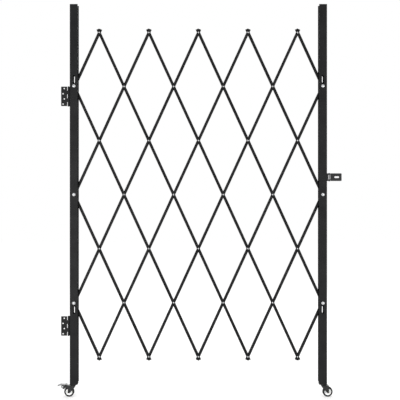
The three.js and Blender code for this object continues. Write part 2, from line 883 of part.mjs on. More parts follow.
function casters() {
  const left = caster("left", true);
  left.position.x = -halfSpan - kingpinOutset;
  const right = caster("right", false);
  right.position.x = halfSpan + kingpinOutset;
  right.rotation.z = Math.PI;
  return [left, right];
}

// The whole gate, with the origin on the floor under the middle of its outer box

const gate = new THREE.Group();
gate.add(postWithPivots("left", 0), postWithPivots("right", columnCount));
gate.add(lattice());
gate.add(...hingeCentres.map((height, index) => buttHinge(hingeNames[index], height)));
gate.add(hasp());
gate.add(...casters());

const extent = new THREE.Box3().setFromObject(gate, true);
const middle = extent.getCenter(new THREE.Vector3());
gate.position.set(-middle.x, -middle.y, -extent.min.z);

const group = new THREE.Group();
group.add(gate);
export default group;
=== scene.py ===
import json
import math

import bmesh
import bpy
from mathutils import Matrix, Vector


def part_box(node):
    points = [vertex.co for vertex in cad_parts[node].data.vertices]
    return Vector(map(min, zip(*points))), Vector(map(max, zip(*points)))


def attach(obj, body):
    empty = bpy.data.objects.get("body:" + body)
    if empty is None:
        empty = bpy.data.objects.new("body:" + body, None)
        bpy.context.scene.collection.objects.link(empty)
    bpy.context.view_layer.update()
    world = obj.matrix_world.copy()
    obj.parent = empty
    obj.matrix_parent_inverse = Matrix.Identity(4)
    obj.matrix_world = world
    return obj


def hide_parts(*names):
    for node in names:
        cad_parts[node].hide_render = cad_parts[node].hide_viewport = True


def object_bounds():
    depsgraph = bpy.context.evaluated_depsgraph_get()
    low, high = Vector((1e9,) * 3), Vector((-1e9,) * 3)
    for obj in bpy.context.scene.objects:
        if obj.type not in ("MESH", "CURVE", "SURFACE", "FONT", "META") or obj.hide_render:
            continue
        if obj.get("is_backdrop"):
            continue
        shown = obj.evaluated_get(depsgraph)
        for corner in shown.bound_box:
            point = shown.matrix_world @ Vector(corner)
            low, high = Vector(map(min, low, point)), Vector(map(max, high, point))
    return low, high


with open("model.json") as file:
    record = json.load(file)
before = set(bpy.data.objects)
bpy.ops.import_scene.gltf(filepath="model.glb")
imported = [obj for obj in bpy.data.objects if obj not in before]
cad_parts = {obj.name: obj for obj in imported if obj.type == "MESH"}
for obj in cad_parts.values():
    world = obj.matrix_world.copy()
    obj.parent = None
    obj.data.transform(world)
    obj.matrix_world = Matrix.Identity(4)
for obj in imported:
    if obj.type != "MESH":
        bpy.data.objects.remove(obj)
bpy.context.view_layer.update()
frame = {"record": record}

# %% [markdown]
# A folding steel gate
#
# The object is a scissor gate: two folded channel posts, a lattice of thin channel bars riveted where
# they cross, two butt hinges, a padlock hasp and two small casters. The frame gives every part's
# place, so each finer piece made here is set where its plain solid stands and then hides it.
#
# The posts, hinge leaves and forks could be modelled as blocks and hollowed out. They are cut flat
# and folded instead, as in a workshop, because that alone gives an even wall with true inner and
# outer bends.

# %% Names and places from the frame
MM = 0.001
BODY = {node: body for body, nodes in frame["record"]["behaviour"]["bodies"].items() for node in nodes}


def middle(node):
    low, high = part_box(node)
    return (low + high) / 2


def at(x, y, z):
    return Matrix.Translation((x, y, z))


def turn(degrees, axis):
    return Matrix.Rotation(math.radians(degrees), 4, axis)


SIDES = ("left", "right")
post_line = {side: middle(f"{side}_middle_pivot_bolt") for side in SIDES}
gate_y = middle("left_post").y
print("pivot lines", [round(post_line[side].x, 4) for side in SIDES], "middle plane", round(gate_y, 5))

# %% [markdown]
# Camera
#
# The picture was taken square on, from about three and a half metres. The lens and shift repeat its
# framing. A longer lens from further off would also fit the gate's outline, but not the way the posts
# show their inner sides.

# %% Camera
def linked(name, data):
    made = bpy.data.objects.new(name, data)
    bpy.context.collection.objects.link(made)
    return made


camera_data = bpy.data.cameras.new("Camera")
camera_data.lens = 62.57
camera_data.shift_x, camera_data.shift_y = 0.0040, -0.0075
camera = linked("Camera", camera_data)
camera.location = (-0.0068, -3.519, 1.0092)
camera.rotation_euler = (math.radians(90), 0, 0)
bpy.context.scene.camera = camera
bpy.context.scene.view_settings.view_transform = "Standard"

# %% [markdown]
# A helper for shader and geometry nodes
#
# Every node tree below is written with one call per node. Inputs that are sockets are linked, and the
# others are typed in as values. A node that is given as an input stands for its first output.


# %% Node helpers
def node(tree, kind, inputs=None, **settings):
    made = tree.nodes.new(kind)
    for name, value in settings.items():
        setattr(made, name, value)
    for key, value in (inputs or {}).items():
        source = value.outputs[0] if isinstance(value, bpy.types.Node) else value
        if isinstance(source, bpy.types.NodeSocket):
            tree.links.new(source, made.inputs[key])
        else:
            made.inputs[key].default_value = source
    return made


def maths(tree, operation, first, second=0.0, third=0.0):
    return node(tree, "ShaderNodeMath", {0: first, 1: second, 2: third}, operation=operation).outputs[0]


def bare_tree(owner):
    owner.use_nodes = True
    owner.node_tree.nodes.clear()
    return owner.node_tree


# %% [markdown]
# Studio
#
# A white room would be drawn by building its walls. A plain floor and a white world are enough here,
# because only soft shadows and long pale reflections reach the gate. The world shows full white to
# the camera and in reflections, and a lower level as light, so that a colour renders about as it is
# written.

# %% World, lamps and floor
WHITE, FLOOR_GREY = (1, 1, 1, 1), (0.86, 0.86, 0.86, 1)
WORLD_AS_LIGHT, WORLD_AS_SEEN, FLOOR_GLOW = 0.95, 1.0, 0.2
FLOOR_CORNERS = [(-9, -6, 0), (9, -6, 0), (9, 12, 0), (-9, 12, 0)]


def seen_directly(tree):
    """Is 1 to the camera, in reflections and through glass, and 0 where a surface is lit."""
    rays = node(tree, "ShaderNodeLightPath").outputs
    seen = maths(tree, "MAXIMUM", rays["Is Camera Ray"], rays["Is Glossy Ray"])
    return maths(tree, "MAXIMUM", seen, rays["Is Transmission Ray"])


world = bpy.data.worlds.new("Studio")
bpy.context.scene.world = world
sky = bare_tree(world)
keys = {"Value": seen_directly(sky), "To Min": WORLD_AS_LIGHT, "To Max": WORLD_AS_SEEN}
light = {"Color": WHITE, "Strength": node(sky, "ShaderNodeMapRange", keys)}
node(sky, "ShaderNodeOutputWorld", {"Surface": node(sky, "ShaderNodeBackground", light)})


def lamp(name, place, target, size, power):
    data = bpy.data.lights.new(name, "AREA")
    data.shape, data.size, data.energy = "DISK", size, power
    made = linked(name, data)
    made.location = place
    made.rotation_euler = (Vector(target) - Vector(place)).to_track_quat("-Z", "Y").to_euler()


lamp("Key_lamp", (-2.6, -3.4, 0.7), (0, 0, 0.7), 1.6, 88)
lamp("Fill_lamp", (3.0, -3.0, 0.6), (0, 0, 0.6), 2.0, 76)
lamp("Rim_lamp", (0.5, 3.4, 3.0), (0, 0, 1.1), 1.8, 26)

floor_paint = bpy.data.materials.new("Studio_floor")
paint = bare_tree(floor_paint)
glow = maths(paint, "MULTIPLY", seen_directly(paint), FLOOR_GLOW)
matt = node(paint, "ShaderNodeBsdfDiffuse", {"Color": FLOOR_GREY})
lift = node(paint, "ShaderNodeEmission", {"Color": WHITE, "Strength": glow})
both = node(paint, "ShaderNodeAddShader", {0: matt, 1: lift})
node(paint, "ShaderNodeOutputMaterial", {"Surface": both})
floor_mesh = bpy.data.meshes.new("Studio_floor")
floor_mesh.from_pydata(FLOOR_CORNERS, [], [(0, 1, 2, 3)])
floor_mesh.materials.append(floor_paint)
linked("Studio_floor", floor_mesh)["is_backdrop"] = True

# %% [markdown]
# Edge wear as a shader group
#
# Coated steel goes paler where its edges are knocked. The mask compares the surface's normal with one
# that the Bevel node has rounded: the two differ only near an edge. Painted maps would do as well,
# but they would need an unwrapped surface for every piece.


# %% Group: worn edges
def shader_group(name, inputs, output):
    group = bpy.data.node_groups.new(name, "ShaderNodeTree")
    for label, value in inputs.items():
        socket = group.interface.new_socket(label, in_out="INPUT", socket_type="NodeSocketFloat")
        socket.default_value = value
    group.interface.new_socket(output, in_out="OUTPUT", socket_type="NodeSocketFloat")
    return group, node(group, "NodeGroupInput").outputs, node(group, "NodeGroupOutput").inputs


def noise(tree, scale, detail=3.0):
    where = node(tree, "ShaderNodeTexCoord").outputs["Object"]
    keys = {"Vector": where, "Scale": scale, "Detail": detail, "Roughness": 0.55}
    return node(tree, "ShaderNodeTexNoise", keys).outputs["Fac"]


def spread(tree, value, low, high, to_low=0.0, to_high=1.0):
    keys = {"Value": value, "From Min": low, "From Max": high, "To Min": to_low, "To Max": to_high}
    return node(tree, "ShaderNodeMapRange", keys).outputs["Result"]


def patchy(tree, scale, low, high, to_low=0.0, to_high=1.0, detail=3.0):
    """A cloudy mask: one range of a noise, spread from to_low to to_high."""
    return spread(tree, noise(tree, scale, detail), low, high, to_low, to_high)


edge_wear, inside, outside = shader_group("Worn_edges", {"Radius": 0.0006, "Patch scale": 60.0}, "Mask")
bevelled = node(edge_wear, "ShaderNodeBevel", {"Radius": inside["Radius"]}, samples=4)
plain = node(edge_wear, "ShaderNodeNewGeometry").outputs["Normal"]
likeness = node(edge_wear, "ShaderNodeVectorMath", {0: bevelled, 1: plain}, operation="DOT_PRODUCT")
bend = spread(edge_wear, likeness.outputs["Value"], 0.995, 0.93)
patches = patchy(edge_wear, inside["Patch scale"], 0.42, 0.62)
edge_wear.links.new(maths(edge_wear, "MULTIPLY", bend, patches), outside["Mask"])

# %% [markdown]
# Orange peel and dust
#
# Powder that has flowed in the oven keeps a faint pebbled skin, called orange peel. Two noises make
# it: pebbles of about two millimetres and a slow waviness. Dust settles on what faces up, so that
# mask reads the piece's own normal, which turns with the piece.

# %% Groups: orange peel and dust
skin = {"Pebbles a metre": 480.0, "Waves a metre": 70.0}
orange_peel, inside, outside = shader_group("Orange_peel", skin, "Height")
pebbles = noise(orange_peel, inside["Pebbles a metre"], detail=1.5)
waves = noise(orange_peel, inside["Waves a metre"], detail=1.0)
orange_peel.links.new(maths(orange_peel, "MULTIPLY_ADD", waves, 0.9, pebbles), outside["Height"])

dust = {"Amount": 0.5, "Specks a metre": 900.0}
settled_dust, inside, outside = shader_group("Settled_dust", dust, "Mask")
own_normal = node(settled_dust, "ShaderNodeTexCoord").outputs["Normal"]
upward = node(settled_dust, "ShaderNodeSeparateXYZ", {0: own_normal}).outputs["Z"]
facing = spread(settled_dust, upward, 0.1, 0.95)
specks = patchy(settled_dust, inside["Specks a metre"], 0.4, 0.7, detail=6.0)
drifts = patchy(settled_dust, 24.0, 0.35, 0.65, 0.35)
amount = maths(settled_dust, "MULTIPLY", maths(settled_dust, "MULTIPLY", facing, specks), drifts)
amount = maths(settled_dust, "MULTIPLY", amount, inside["Amount"])
settled_dust.links.new(amount, outside["Mask"])

# %% [markdown]
# Painted shade in recesses
#
# The colour is darkened as painted shade where light hardly reaches: round a rivet's head, in a
# screw's slot, in the corner of a fold. The Ambient Occlusion node finds such places by looking a short
# way round each point, and its reading, turned over, is the mask.

# %% Group: painted shade in recesses
hollows = {"Reach": 0.002, "Least": 0.25, "Most": 0.7}
# Painted shade: this mask darkens hollows by ambient occlusion, not by dirt.
recess_shade_group, inside, outside = shader_group("Recess_painted_shade", hollows, "Mask")
nearby = node(recess_shade_group, "ShaderNodeAmbientOcclusion", {"Distance": inside["Reach"]}, samples=8)
shut_in = maths(recess_shade_group, "SUBTRACT", 1.0, nearby.outputs["AO"])
shaded_recess = spread(recess_shade_group, shut_in, inside["Least"], inside["Most"])
recess_shade_group.links.new(shaded_recess, outside["Mask"])

# %% [markdown]
# Finishes
#
# Six finishes cover the gate: black powder coat, a slightly paler and glossier coat on the stamped
# parts of the casters and the hasp, a glossy coat on the brake pedal, bright zinc on rivets and pivot
# screws, off-white nylon and rubber. Each colour drifts a little over the surface, as real coats do,
# and the roughness drifts with it.


# %% Finish helpers
def finish(name, metallic=0.0, specular=0.5):
    material = bpy.data.materials.new(name)
    tree = bare_tree(material)
    keys = {"Metallic": metallic, "Specular IOR Level": specular}
    shader = node(tree, "ShaderNodeBsdfPrincipled", keys)
    node(tree, "ShaderNodeOutputMaterial", {"Surface": shader})
    return material, tree, shader


def grouped(tree, group, **values):
    keys = {label.replace("_", " "): value for label, value in values.items()}
    return node(tree, "ShaderNodeGroup", keys, node_tree=group).outputs[0]


def mixed(tree, factor, first, second):
    """Goes from the first colour to the second. A plain colour is given as three numbers."""
    keys = {"Factor": factor}
    for socket, colour in ((6, first), (7, second)):
        keys[socket] = (*colour, 1) if isinstance(colour, tuple) else colour
    return node(tree, "ShaderNodeMix", keys, data_type="RGBA").outputs[2]


def tinted(tree, colour, mask, share, tint):
    return mixed(tree, maths(tree, "MULTIPLY", mask, share), colour, tint)


def feed(tree, shader, colour, roughness, height, strength, distance):
    keys = {"Height": height, "Strength": strength, "Distance": distance}
    tree.links.new(colour, shader.inputs["Base Color"])
    tree.links.new(roughness, shader.inputs["Roughness"])
    tree.links.new(node(tree, "ShaderNodeBump", keys).outputs[0], shader.inputs["Normal"])


# %% Powder coats
BARE_EDGE, DUST_GREY = (0.08, 0.08, 0.082), (0.16, 0.155, 0.15)


def powder_coat(name, deep, pale, rough, specular, gloss):
    material, tree, shader = finish(name, specular=specular)
    shader.inputs["Coat Weight"].default_value = gloss
    shader.inputs["Coat Roughness"].default_value = 0.12
    colour = mixed(tree, patchy(tree, 14.0, 0.35, 0.65), deep, pale)
    worn = grouped(tree, edge_wear, Radius=0.0005, Patch_scale=55.0)
    colour = tinted(tree, colour, worn, 0.3, BARE_EDGE)
    colour = mixed(tree, grouped(tree, settled_dust, Amount=0.3), colour, DUST_GREY)
    satin = patchy(tree, 45.0, 0.3, 0.7, rough - 0.05, rough + 0.07)
    roughness = maths(tree, "MULTIPLY_ADD", worn, -0.12, satin)
    feed(tree, shader, colour, roughness, grouped(tree, orange_peel), 0.22, 0.0002)
    return material


# Each coat has its deep and its pale colour, its roughness, its specular level and its gloss.
COATS = {
    "Black_powder_coat": ((0.0058, 0.0059, 0.0063), (0.0092, 0.0094, 0.0098), 0.46, 0.12, 0.0),
    "Stamped_steel_coat": ((0.008, 0.0082, 0.0086), (0.013, 0.0133, 0.0137), 0.3, 0.12, 0.45),
    "Pedal_coat": ((0.009, 0.0092, 0.0096), (0.015, 0.0153, 0.0158), 0.24, 0.5, 1.0),
}
black_coat, stamped_coat, pedal_coat = [powder_coat(name, *look) for name, look in COATS.items()]

# %% Bright zinc
DULL_ZINC, CLEAN_ZINC = (0.42, 0.43, 0.443), (0.54, 0.54, 0.537)
# STAIN is a real stain colour; the second colour is painted shade for the zinc's recesses.
STAIN, RECESS_SHADE_BLACK = (0.34, 0.335, 0.33), (0.05, 0.05, 0.05)
zinc, tree, shader = finish("Bright_zinc", metallic=1.0)
cloud = patchy(tree, 220.0, 0.35, 0.65, detail=4.0)
stained = patchy(tree, 130.0, 0.62, 0.75, detail=5.0)
tone = tinted(tree, mixed(tree, cloud, DULL_ZINC, CLEAN_ZINC), stained, 0.5, STAIN)
# Painted shade: the zinc is darkened towards black in its recesses, where light hardly reaches.
painted_recess_shade = grouped(tree, recess_shade_group, Reach=0.0016, Least=0.3, Most=0.6)
tone = tinted(tree, tone, painted_recess_shade, 0.85, RECESS_SHADE_BLACK)
roughness = spread(tree, cloud, 0.0, 1.0, 0.62, 0.5)
feed(tree, shader, tone, roughness, noise(tree, 1800.0, detail=2.0), 0.12, 0.0001)

# %% Nylon and rubber
MILK, PALE_MILK, SOIL = (0.9, 0.9, 0.885), (0.94, 0.94, 0.93), (0.5, 0.49, 0.46)
nylon, tree, shader = finish("Off_white_nylon")
shader.inputs["Subsurface Weight"].default_value = 0.05
milk = mixed(tree, patchy(tree, 90.0, 0.35, 0.65), MILK, PALE_MILK)
soiled = patchy(tree, 260.0, 0.6, 0.8, detail=6.0)
milk = tinted(tree, milk, soiled, 0.15, SOIL)
roughness = patchy(tree, 60.0, 0.3, 0.7, 0.36, 0.5)
feed(tree, shader, milk, roughness, noise(tree, 900.0, detail=2.0), 0.1, 0.0001)

SOOT, PALE_SOOT = (0.006, 0.006, 0.0063), (0.012, 0.012, 0.0123)
SCUFFED, RUBBED = (0.05, 0.049, 0.048), (0.06, 0.059, 0.057)
rubber, tree, shader = finish("Black_rubber", specular=0.2)
worn = grouped(tree, edge_wear, Radius=0.0015, Patch_scale=90.0)
scuff = patchy(tree, 420.0, 0.5, 0.72, detail=6.0)
dark = mixed(tree, patchy(tree, 120.0, 0.35, 0.65), SOOT, PALE_SOOT)
dark = tinted(tree, tinted(tree, dark, scuff, 0.3, SCUFFED), worn, 0.3, RUBBED)
roughness = spread(tree, scuff, 0.0, 1.0, 0.62, 0.85)
feed(tree, shader, dark, roughness, noise(tree, 1500.0, detail=4.0), 0.3, 0.00015)
print("finishes", [m.name for m in (black_coat, stamped_coat, pedal_coat, zinc, nylon, rubber)])

# %% [markdown]
# From a bmesh to a piece of the gate
#
# Shapes are drawn in millimetres about a handy point. The helper moves them to their place, scales
# them to metres inside the mesh, and leaves the object itself at the origin, where the export and the
# pattern coordinates want it.


# %% Piece helpers
def smoothed(mesh, degrees=38):
    mesh.shade_smooth()
    mesh.set_sharp_from_angle(angle=math.radians(degrees))


def as_object(name, bm, place=Matrix.Identity(4), material=None, smooth=38):
    bmesh.ops.remove_doubles(bm, verts=bm.verts, dist=1e-4)
    bmesh.ops.recalc_face_normals(bm, faces=bm.faces)
    mesh = bpy.data.meshes.new(name)
    bm.to_mesh(mesh)
    bm.free()
    mesh.transform(place @ Matrix.Scale(MM, 4))
    smoothed(mesh, smooth)
    if material:
        mesh.materials.append(material)
    return linked(name, mesh)


def settled(piece):
    """Turns what the modifiers make into the piece's plain mesh."""
    view = bpy.context.evaluated_depsgraph_get()
    shape = piece.evaluated_get(view)
    mesh = bpy.data.meshes.new_from_object(shape, preserve_all_data_layers=True, depsgraph=view)
    piece.modifiers.clear()
    piece.data = mesh
    return piece


def evened(piece):
    """Lets the large faces lead the shading, so that flat sheet stays flat beside its fine bevels."""
    even = piece.modifiers.new("Even", "WEIGHTED_NORMAL")
    even.keep_sharp = True
    return settled(piece)


def stands_for(piece, node_name):
    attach(evened(piece), BODY[node_name])
    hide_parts(node_name)


def goes_with(piece, node_name):
    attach(evened(piece), BODY[node_name])


def coated(piece, material, node_name):
    """Finishes a piece that was cut or joined from others."""
    piece.data.materials.append(material)
    stands_for(piece, node_name)


def dressed(name, bm, place, material, node_name):
    """Makes a piece from its shape in one step, and lets it stand for its plain solid."""
    made = as_object(name, bm, place, material)
    stands_for(made, node_name)
    return made


# %% [markdown]
# Profiles and turned parts
#
# Rivets, screws, wheels and pins are round, so each is one profile turned about an axis. Corners of a
# profile are rounded first, because a real edge always catches a thin line of light.


# %% Profile and turning helpers
def rounded(points, radius, steps=4, closed=True):
    """Gives each corner of a profile an arc; radius is one number, or one for each point."""
    made = []
    for i, point in enumerate(points):
        wanted = radius[i] if isinstance(radius, (list, tuple)) else radius
        if not wanted or (not closed and i in (0, len(points) - 1)):
            made.append(tuple(point))
            continue
        here = Vector((*point, 0))
        before = Vector((*points[i - 1], 0)) - here
        after = Vector((*points[(i + 1) % len(points)], 0)) - here
        half = before.angle(after) / 2
        if half > 1.5:
            made.append(tuple(point))
            continue
        reach = min(wanted / math.tan(half), before.length * 0.49, after.length * 0.49)
        arm = reach / math.cos(half)
        centre = here + (before.normalized() + after.normalized()).normalized() * arm
        first = here + before.normalized() * reach - centre
        last = here + after.normalized() * reach - centre
        for step in range(steps + 1):
            spoke = first.normalized().slerp(last.normalized(), step / steps) * first.length
            made.append((centre.x + spoke.x, centre.y + spoke.y))
    return made


def turned(profile, sides=32, closed=False):
    """Turns pairs of (radius, height) about Z; a closed profile makes a ring."""
    bm = bmesh.new()
    rings = []
    for radius, height in profile:
        count = 1 if radius < 1e-6 else sides
        angles = [2 * math.pi * i / sides for i in range(count)]
        rings.append([bm.verts.new((radius * math.cos(a), radius * math.sin(a), height)) for a in angles])
    for low, high in zip(rings, rings[1:] + ([rings[0]] if closed else [])):
        for i in range(sides):
            corners = [low[i % len(low)], low[(i + 1) % len(low)],
                       high[(i + 1) % len(high)], high[i % len(high)]]
            distinct = list(dict.fromkeys(corners))
            if len(distinct) > 2:
                bm.faces.new(distinct)
    bmesh.ops.recalc_face_normals(bm, faces=bm.faces)
    return bm


# %% [markdown]
# Flat sheet and folding
#
# A blank is an outline with holes, filled and given its wall, with a fine bevel on every cut edge.
# Folding then moves each point along a path of straight lines and arcs, and outwards by its depth in
# the sheet. The blank is first cut across at the bends, so that they come out round.


# %% Sheet helpers
def circle(x, y, radius, steps=24):
    angles = [2 * math.pi * i / steps for i in range(steps)]
    return [(x + radius * math.cos(a), y + radius * math.sin(a)) for a in angles]


def oblong(left, low, right, high):
    return [(left, low), (right, low), (right, high), (left, high)]


def arc(x, y, radius, start, end, steps=12):
    angles = [math.radians(start + (end - start) * i / steps) for i in range(steps + 1)]
    return [(x + radius * math.cos(a), y + radius * math.sin(a)) for a in angles]


def blank(outline, holes=(), wall=2.0, edge=0.25, bends=(), bend_steps=6):
    bm = bmesh.new()
    edges = []
    for loop in (outline, *holes):
        corners = [bm.verts.new((x, y, 0)) for x, y in loop]
        edges += [bm.edges.new((corners[i - 1], corners[i])) for i in range(len(corners))]
    bmesh.ops.triangle_fill(bm, use_beauty=True, edges=edges, normal=(0, 0, 1))
    for start, angle, radius in bends:
        length = abs(math.radians(angle)) * radius
        for step in range(bend_steps + 1):
            everything = bm.verts[:] + bm.edges[:] + bm.faces[:]
            cut_at = (start + length * step / bend_steps, 0, 0)
            bmesh.ops.bisect_plane(bm, geom=everything, dist=1e-5, plane_co=cut_at, plane_no=(1, 0, 0))
    raised = bmesh.ops.extrude_face_region(bm, geom=bm.faces[:])["geom"]
    lifted = [v for v in raised if isinstance(v, bmesh.types.BMVert)]
    bmesh.ops.translate(bm, verts=lifted, vec=(0, 0, wall))
    bmesh.ops.recalc_face_normals(bm, faces=bm.faces)
    sharp = [e for e in bm.edges if len(e.link_faces) == 2 and e.calc_face_angle() > math.radians(50)
             and abs(e.verts[0].co.z - e.verts[1].co.z) < 1e-6]
    cut = {"offset": edge, "segments": 2, "profile": 0.5, "affect": "EDGES", "clamp_overlap": True}
    bmesh.ops.bevel(bm, geom=sharp, **cut)
    return bm


def fold(bm, bends):
    """Bends a blank along X. Each bend is (start, degrees, inner radius), and the depth goes outwards."""
    for vert in bm.verts:
        along, across, depth = vert.co
        x = y = heading = done = 0.0
        for start, degrees, radius in bends:
            if along <= start:
                break
            x += (start - done) * math.cos(heading)
            y += (start - done) * math.sin(heading)
            signed = math.copysign(radius, degrees)
            used = min(along - start, radius * abs(math.radians(degrees)))
            next_heading = heading + used / signed
            x += signed * (math.sin(next_heading) - math.sin(heading))
            y += signed * (math.cos(heading) - math.cos(next_heading))
            heading = next_heading
            done = start + used
        x += (along - done) * math.cos(heading)
        y += (along - done) * math.sin(heading)
        vert.co = (x + depth * math.sin(heading), y - depth * math.cos(heading), across)
    return bm


# %% Cutting and joining helper
def shaped(base, tools, operation="DIFFERENCE"):
    """Takes the tools' shapes from the base, joins them to it, or keeps what they share."""
    for tool in tools:
        change = base.modifiers.new("Shape", "BOOLEAN")
        change.operation, change.object, change.solver = operation, tool, "EXACT"
    settled(base)
    for tool in tools:
        bpy.data.objects.remove(tool)
    smoothed(base.data)
    return base


def bored(base, radius, low, high, place, sides=32):
    return shaped(base, [as_object("Tool", turned(oblong(0, low, radius, high), sides), place)])


# %% [markdown]
# Posts
#
# Each post is one folded channel with its open side to the lattice. Its flanges have a hole for the
# fixed pivot, two long slots for the sliding ones and a cut corner at the foot. The whole blank is
# drawn flat, slots included, and folded twice.

# %% Posts
ROWS = ("upper", "middle", "lower")
WALL, BEND = 2.0, 1.0
CUT_WIDTH, CUT_HEIGHT = 5.0, 8.0
PIVOT_HOLE, SLOT_HALF, SLOT_TRAVEL = 4.8, 5.0, 49.5
post_low, post_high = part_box("left_post")
post_width, post_depth, post_length = (post_high - post_low) / MM
open_edge = (post_high.x - post_line["left"].x) / MM
flange = post_width - WALL - BEND
bend_length = math.pi / 2 * BEND
blank_width = 2 * flange + 2 * bend_length + post_depth - 2 * (WALL + BEND)
post_bends = [(flange, 90, BEND), (blank_width - flange - bend_length, 90, BEND)]
pivot_heights = [(middle(f"left_{row}_pivot_bolt").z - post_low.z) / MM for row in ROWS]


def slot_loop(x, low, high):
    return arc(x, low, SLOT_HALF, 180, 360) + arc(x, high, SLOT_HALF, 0, 180)


def post_blank():
    upper, fixed, lower = pivot_heights
    foot = [(0, CUT_HEIGHT), (CUT_WIDTH, 0), (blank_width - CUT_WIDTH, 0), (blank_width, CUT_HEIGHT)]
    outline = [*foot, (blank_width, post_length), (0, post_length)]
    holes = []
    for x in (open_edge, blank_width - open_edge):
        holes.append(circle(x, fixed, PIVOT_HOLE))
        holes.append(slot_loop(x, upper, upper + SLOT_TRAVEL))
        holes.append(slot_loop(x, lower - SLOT_TRAVEL, lower))
    return fold(blank(outline, holes, WALL, 0.3, post_bends), post_bends)


for side, half_turn, sign in (("left", 180, 1), ("right", 0, -1)):
    open_x = post_line[side].x + sign * open_edge * MM
    inner_y = gate_y + sign * (post_depth / 2 - WALL) * MM
    place = at(open_x, inner_y, post_low.z) @ turn(half_turn, "Z")
    post = dressed(f"{side}_post_channel", post_blank(), place, black_coat, f"{side}_post")
    print(post.name, len(post.data.polygons), "faces, blank", round(blank_width, 1), "mm wide")

# %% [markdown]
# Lattice bars by Geometry Nodes
#
# The lattice is what makes this gate: sixteen light channels, each drilled at every crossing at one
# even pitch, so that they all turn together. That is a rule, so one tree makes every bar. It sweeps
# the channel's section along a line, instances a drill at each pivot and takes all the drills away at
# once.


# %% Helpers for geometry trees
def geometry_tree(name, inputs):
    tree = bpy.data.node_groups.new(name, "GeometryNodeTree")
    kinds = {"f": "Float", "i": "Int", "o": "Object", "m": "Material", "v": "Vector"}
    tree.interface.new_socket("Geometry", in_out="INPUT", socket_type="NodeSocketGeometry")
    for label, kind in inputs.items():
        tree.interface.new_socket(label, in_out="INPUT", socket_type=f"NodeSocket{kinds[kind]}")
    tree.interface.new_socket("Geometry", in_out="OUTPUT", socket_type="NodeSocketGeometry")
    return tree, node(tree, "NodeGroupInput").outputs, node(tree, "NodeGroupOutput").inputs


def finished(tree, geometry, material, result):
    """Ends a tree: the instances become real, because the export drops them, and get their finish."""
    realised = node(tree, "GeometryNodeRealizeInstances", {0: geometry})
    painted = node(tree, "GeometryNodeSetMaterial", {"Geometry": realised, "Material": material})
    tree.links.new(painted.outputs[0], result[0])


def grown(name, tree, values, points=(), bevel=0.0):
    """Runs a tree on a host mesh of loose points, and keeps what it makes as a plain mesh."""
    host = bpy.data.meshes.new(name)
    host.from_pydata([tuple(point) for point in points], [], [])
    piece = linked(name, host)
    modifier = piece.modifiers.new(tree.name, "NODES")
    modifier.node_group = tree
    sockets = [item for item in tree.interface.items_tree if item.in_out == "INPUT"]
    for socket in sockets:
        if socket.name in values:
            modifier[socket.identifier] = values[socket.name]
    if bevel:
        soften = piece.modifiers.new("Soften", "BEVEL")
        soften.width, soften.segments = bevel * MM, 1
        soften.limit_method, soften.angle_limit = "ANGLE", math.radians(40)
    settled(piece)
    smoothed(piece.data)
    return piece


# %% Tree: punched channel bar
bar_tree, given, result = geometry_tree("Punched_channel_bar", {
    "Section": "o", "Pivots": "i", "Pitch": "f", "Before": "f", "After": "f",
    "First drill": "f", "Drill": "f", "Last drill": "f", "Turn": "v", "First pivot": "v", "Material": "m",
})
section = node(bar_tree, "GeometryNodeObjectInfo", {"Object": given["Section"]}).outputs["Geometry"]
last_index = maths(bar_tree, "SUBTRACT", given["Pivots"], 1.0)
before = maths(bar_tree, "MULTIPLY", given["Before"], -1.0)
after = maths(bar_tree, "MULTIPLY_ADD", last_index, given["Pitch"], given["After"])
along = (before, after, given["Pitch"])
start, end, step = [node(bar_tree, "ShaderNodeCombineXYZ", {"X": x}) for x in along]
bar_line = node(bar_tree, "GeometryNodeCurvePrimitiveLine", {"Start": start, "End": end})
keys = {"Curve": bar_line, "Profile Curve": section, "Fill Caps": True}
channel = node(bar_tree, "GeometryNodeCurveToMesh", keys)
pivots = node(bar_tree, "GeometryNodeMeshLine", {"Count": given["Pivots"], "Offset": step})
index = node(bar_tree, "GeometryNodeInputIndex")


def other_drill(where, other, usual):
    """Takes another drill at the pivot with this index."""
    here = node(bar_tree, "FunctionNodeCompare", {2: index, 3: where}, data_type="INT", operation="EQUAL")
    return node(bar_tree, "GeometryNodeSwitch", {0: here, 1: usual, 2: other}, input_type="FLOAT")


width = other_drill(last_index, given["Last drill"], given["Drill"])
width = other_drill(0, given["First drill"], width)
drill = node(bar_tree, "GeometryNodeMeshCylinder", {"Vertices": 20, "Radius": 1.0, "Depth": 0.02})
upright = node(bar_tree, "GeometryNodeTransform", {"Geometry": drill, "Rotation": (math.pi / 2, 0, 0)})
size = node(bar_tree, "ShaderNodeCombineXYZ", {"X": width, "Y": 1.0, "Z": width})
keys = {"Points": pivots, "Instance": upright, "Scale": size}
drills = node(bar_tree, "GeometryNodeInstanceOnPoints", keys)
keys = {"Mesh 1": channel, "Mesh 2": node(bar_tree, "GeometryNodeRealizeInstances", {0: drills})}
punched = node(bar_tree, "GeometryNodeMeshBoolean", keys, operation="DIFFERENCE", solver="EXACT")
keys = {"Geometry": punched, "Rotation": given["Turn"], "Translation": given["First pivot"]}
finished(bar_tree, node(bar_tree, "GeometryNodeTransform", keys), given["Material"], result)

# %% [markdown]
# Rivets and screws by Geometry Nodes
#
# The second tree sets one fastener at each point of a small host mesh. A seed gives each fastener its
# own turn, because no two are ever set alike. It is used for rivets, pivot screws and their nuts,
# hinge screws and weld beads.

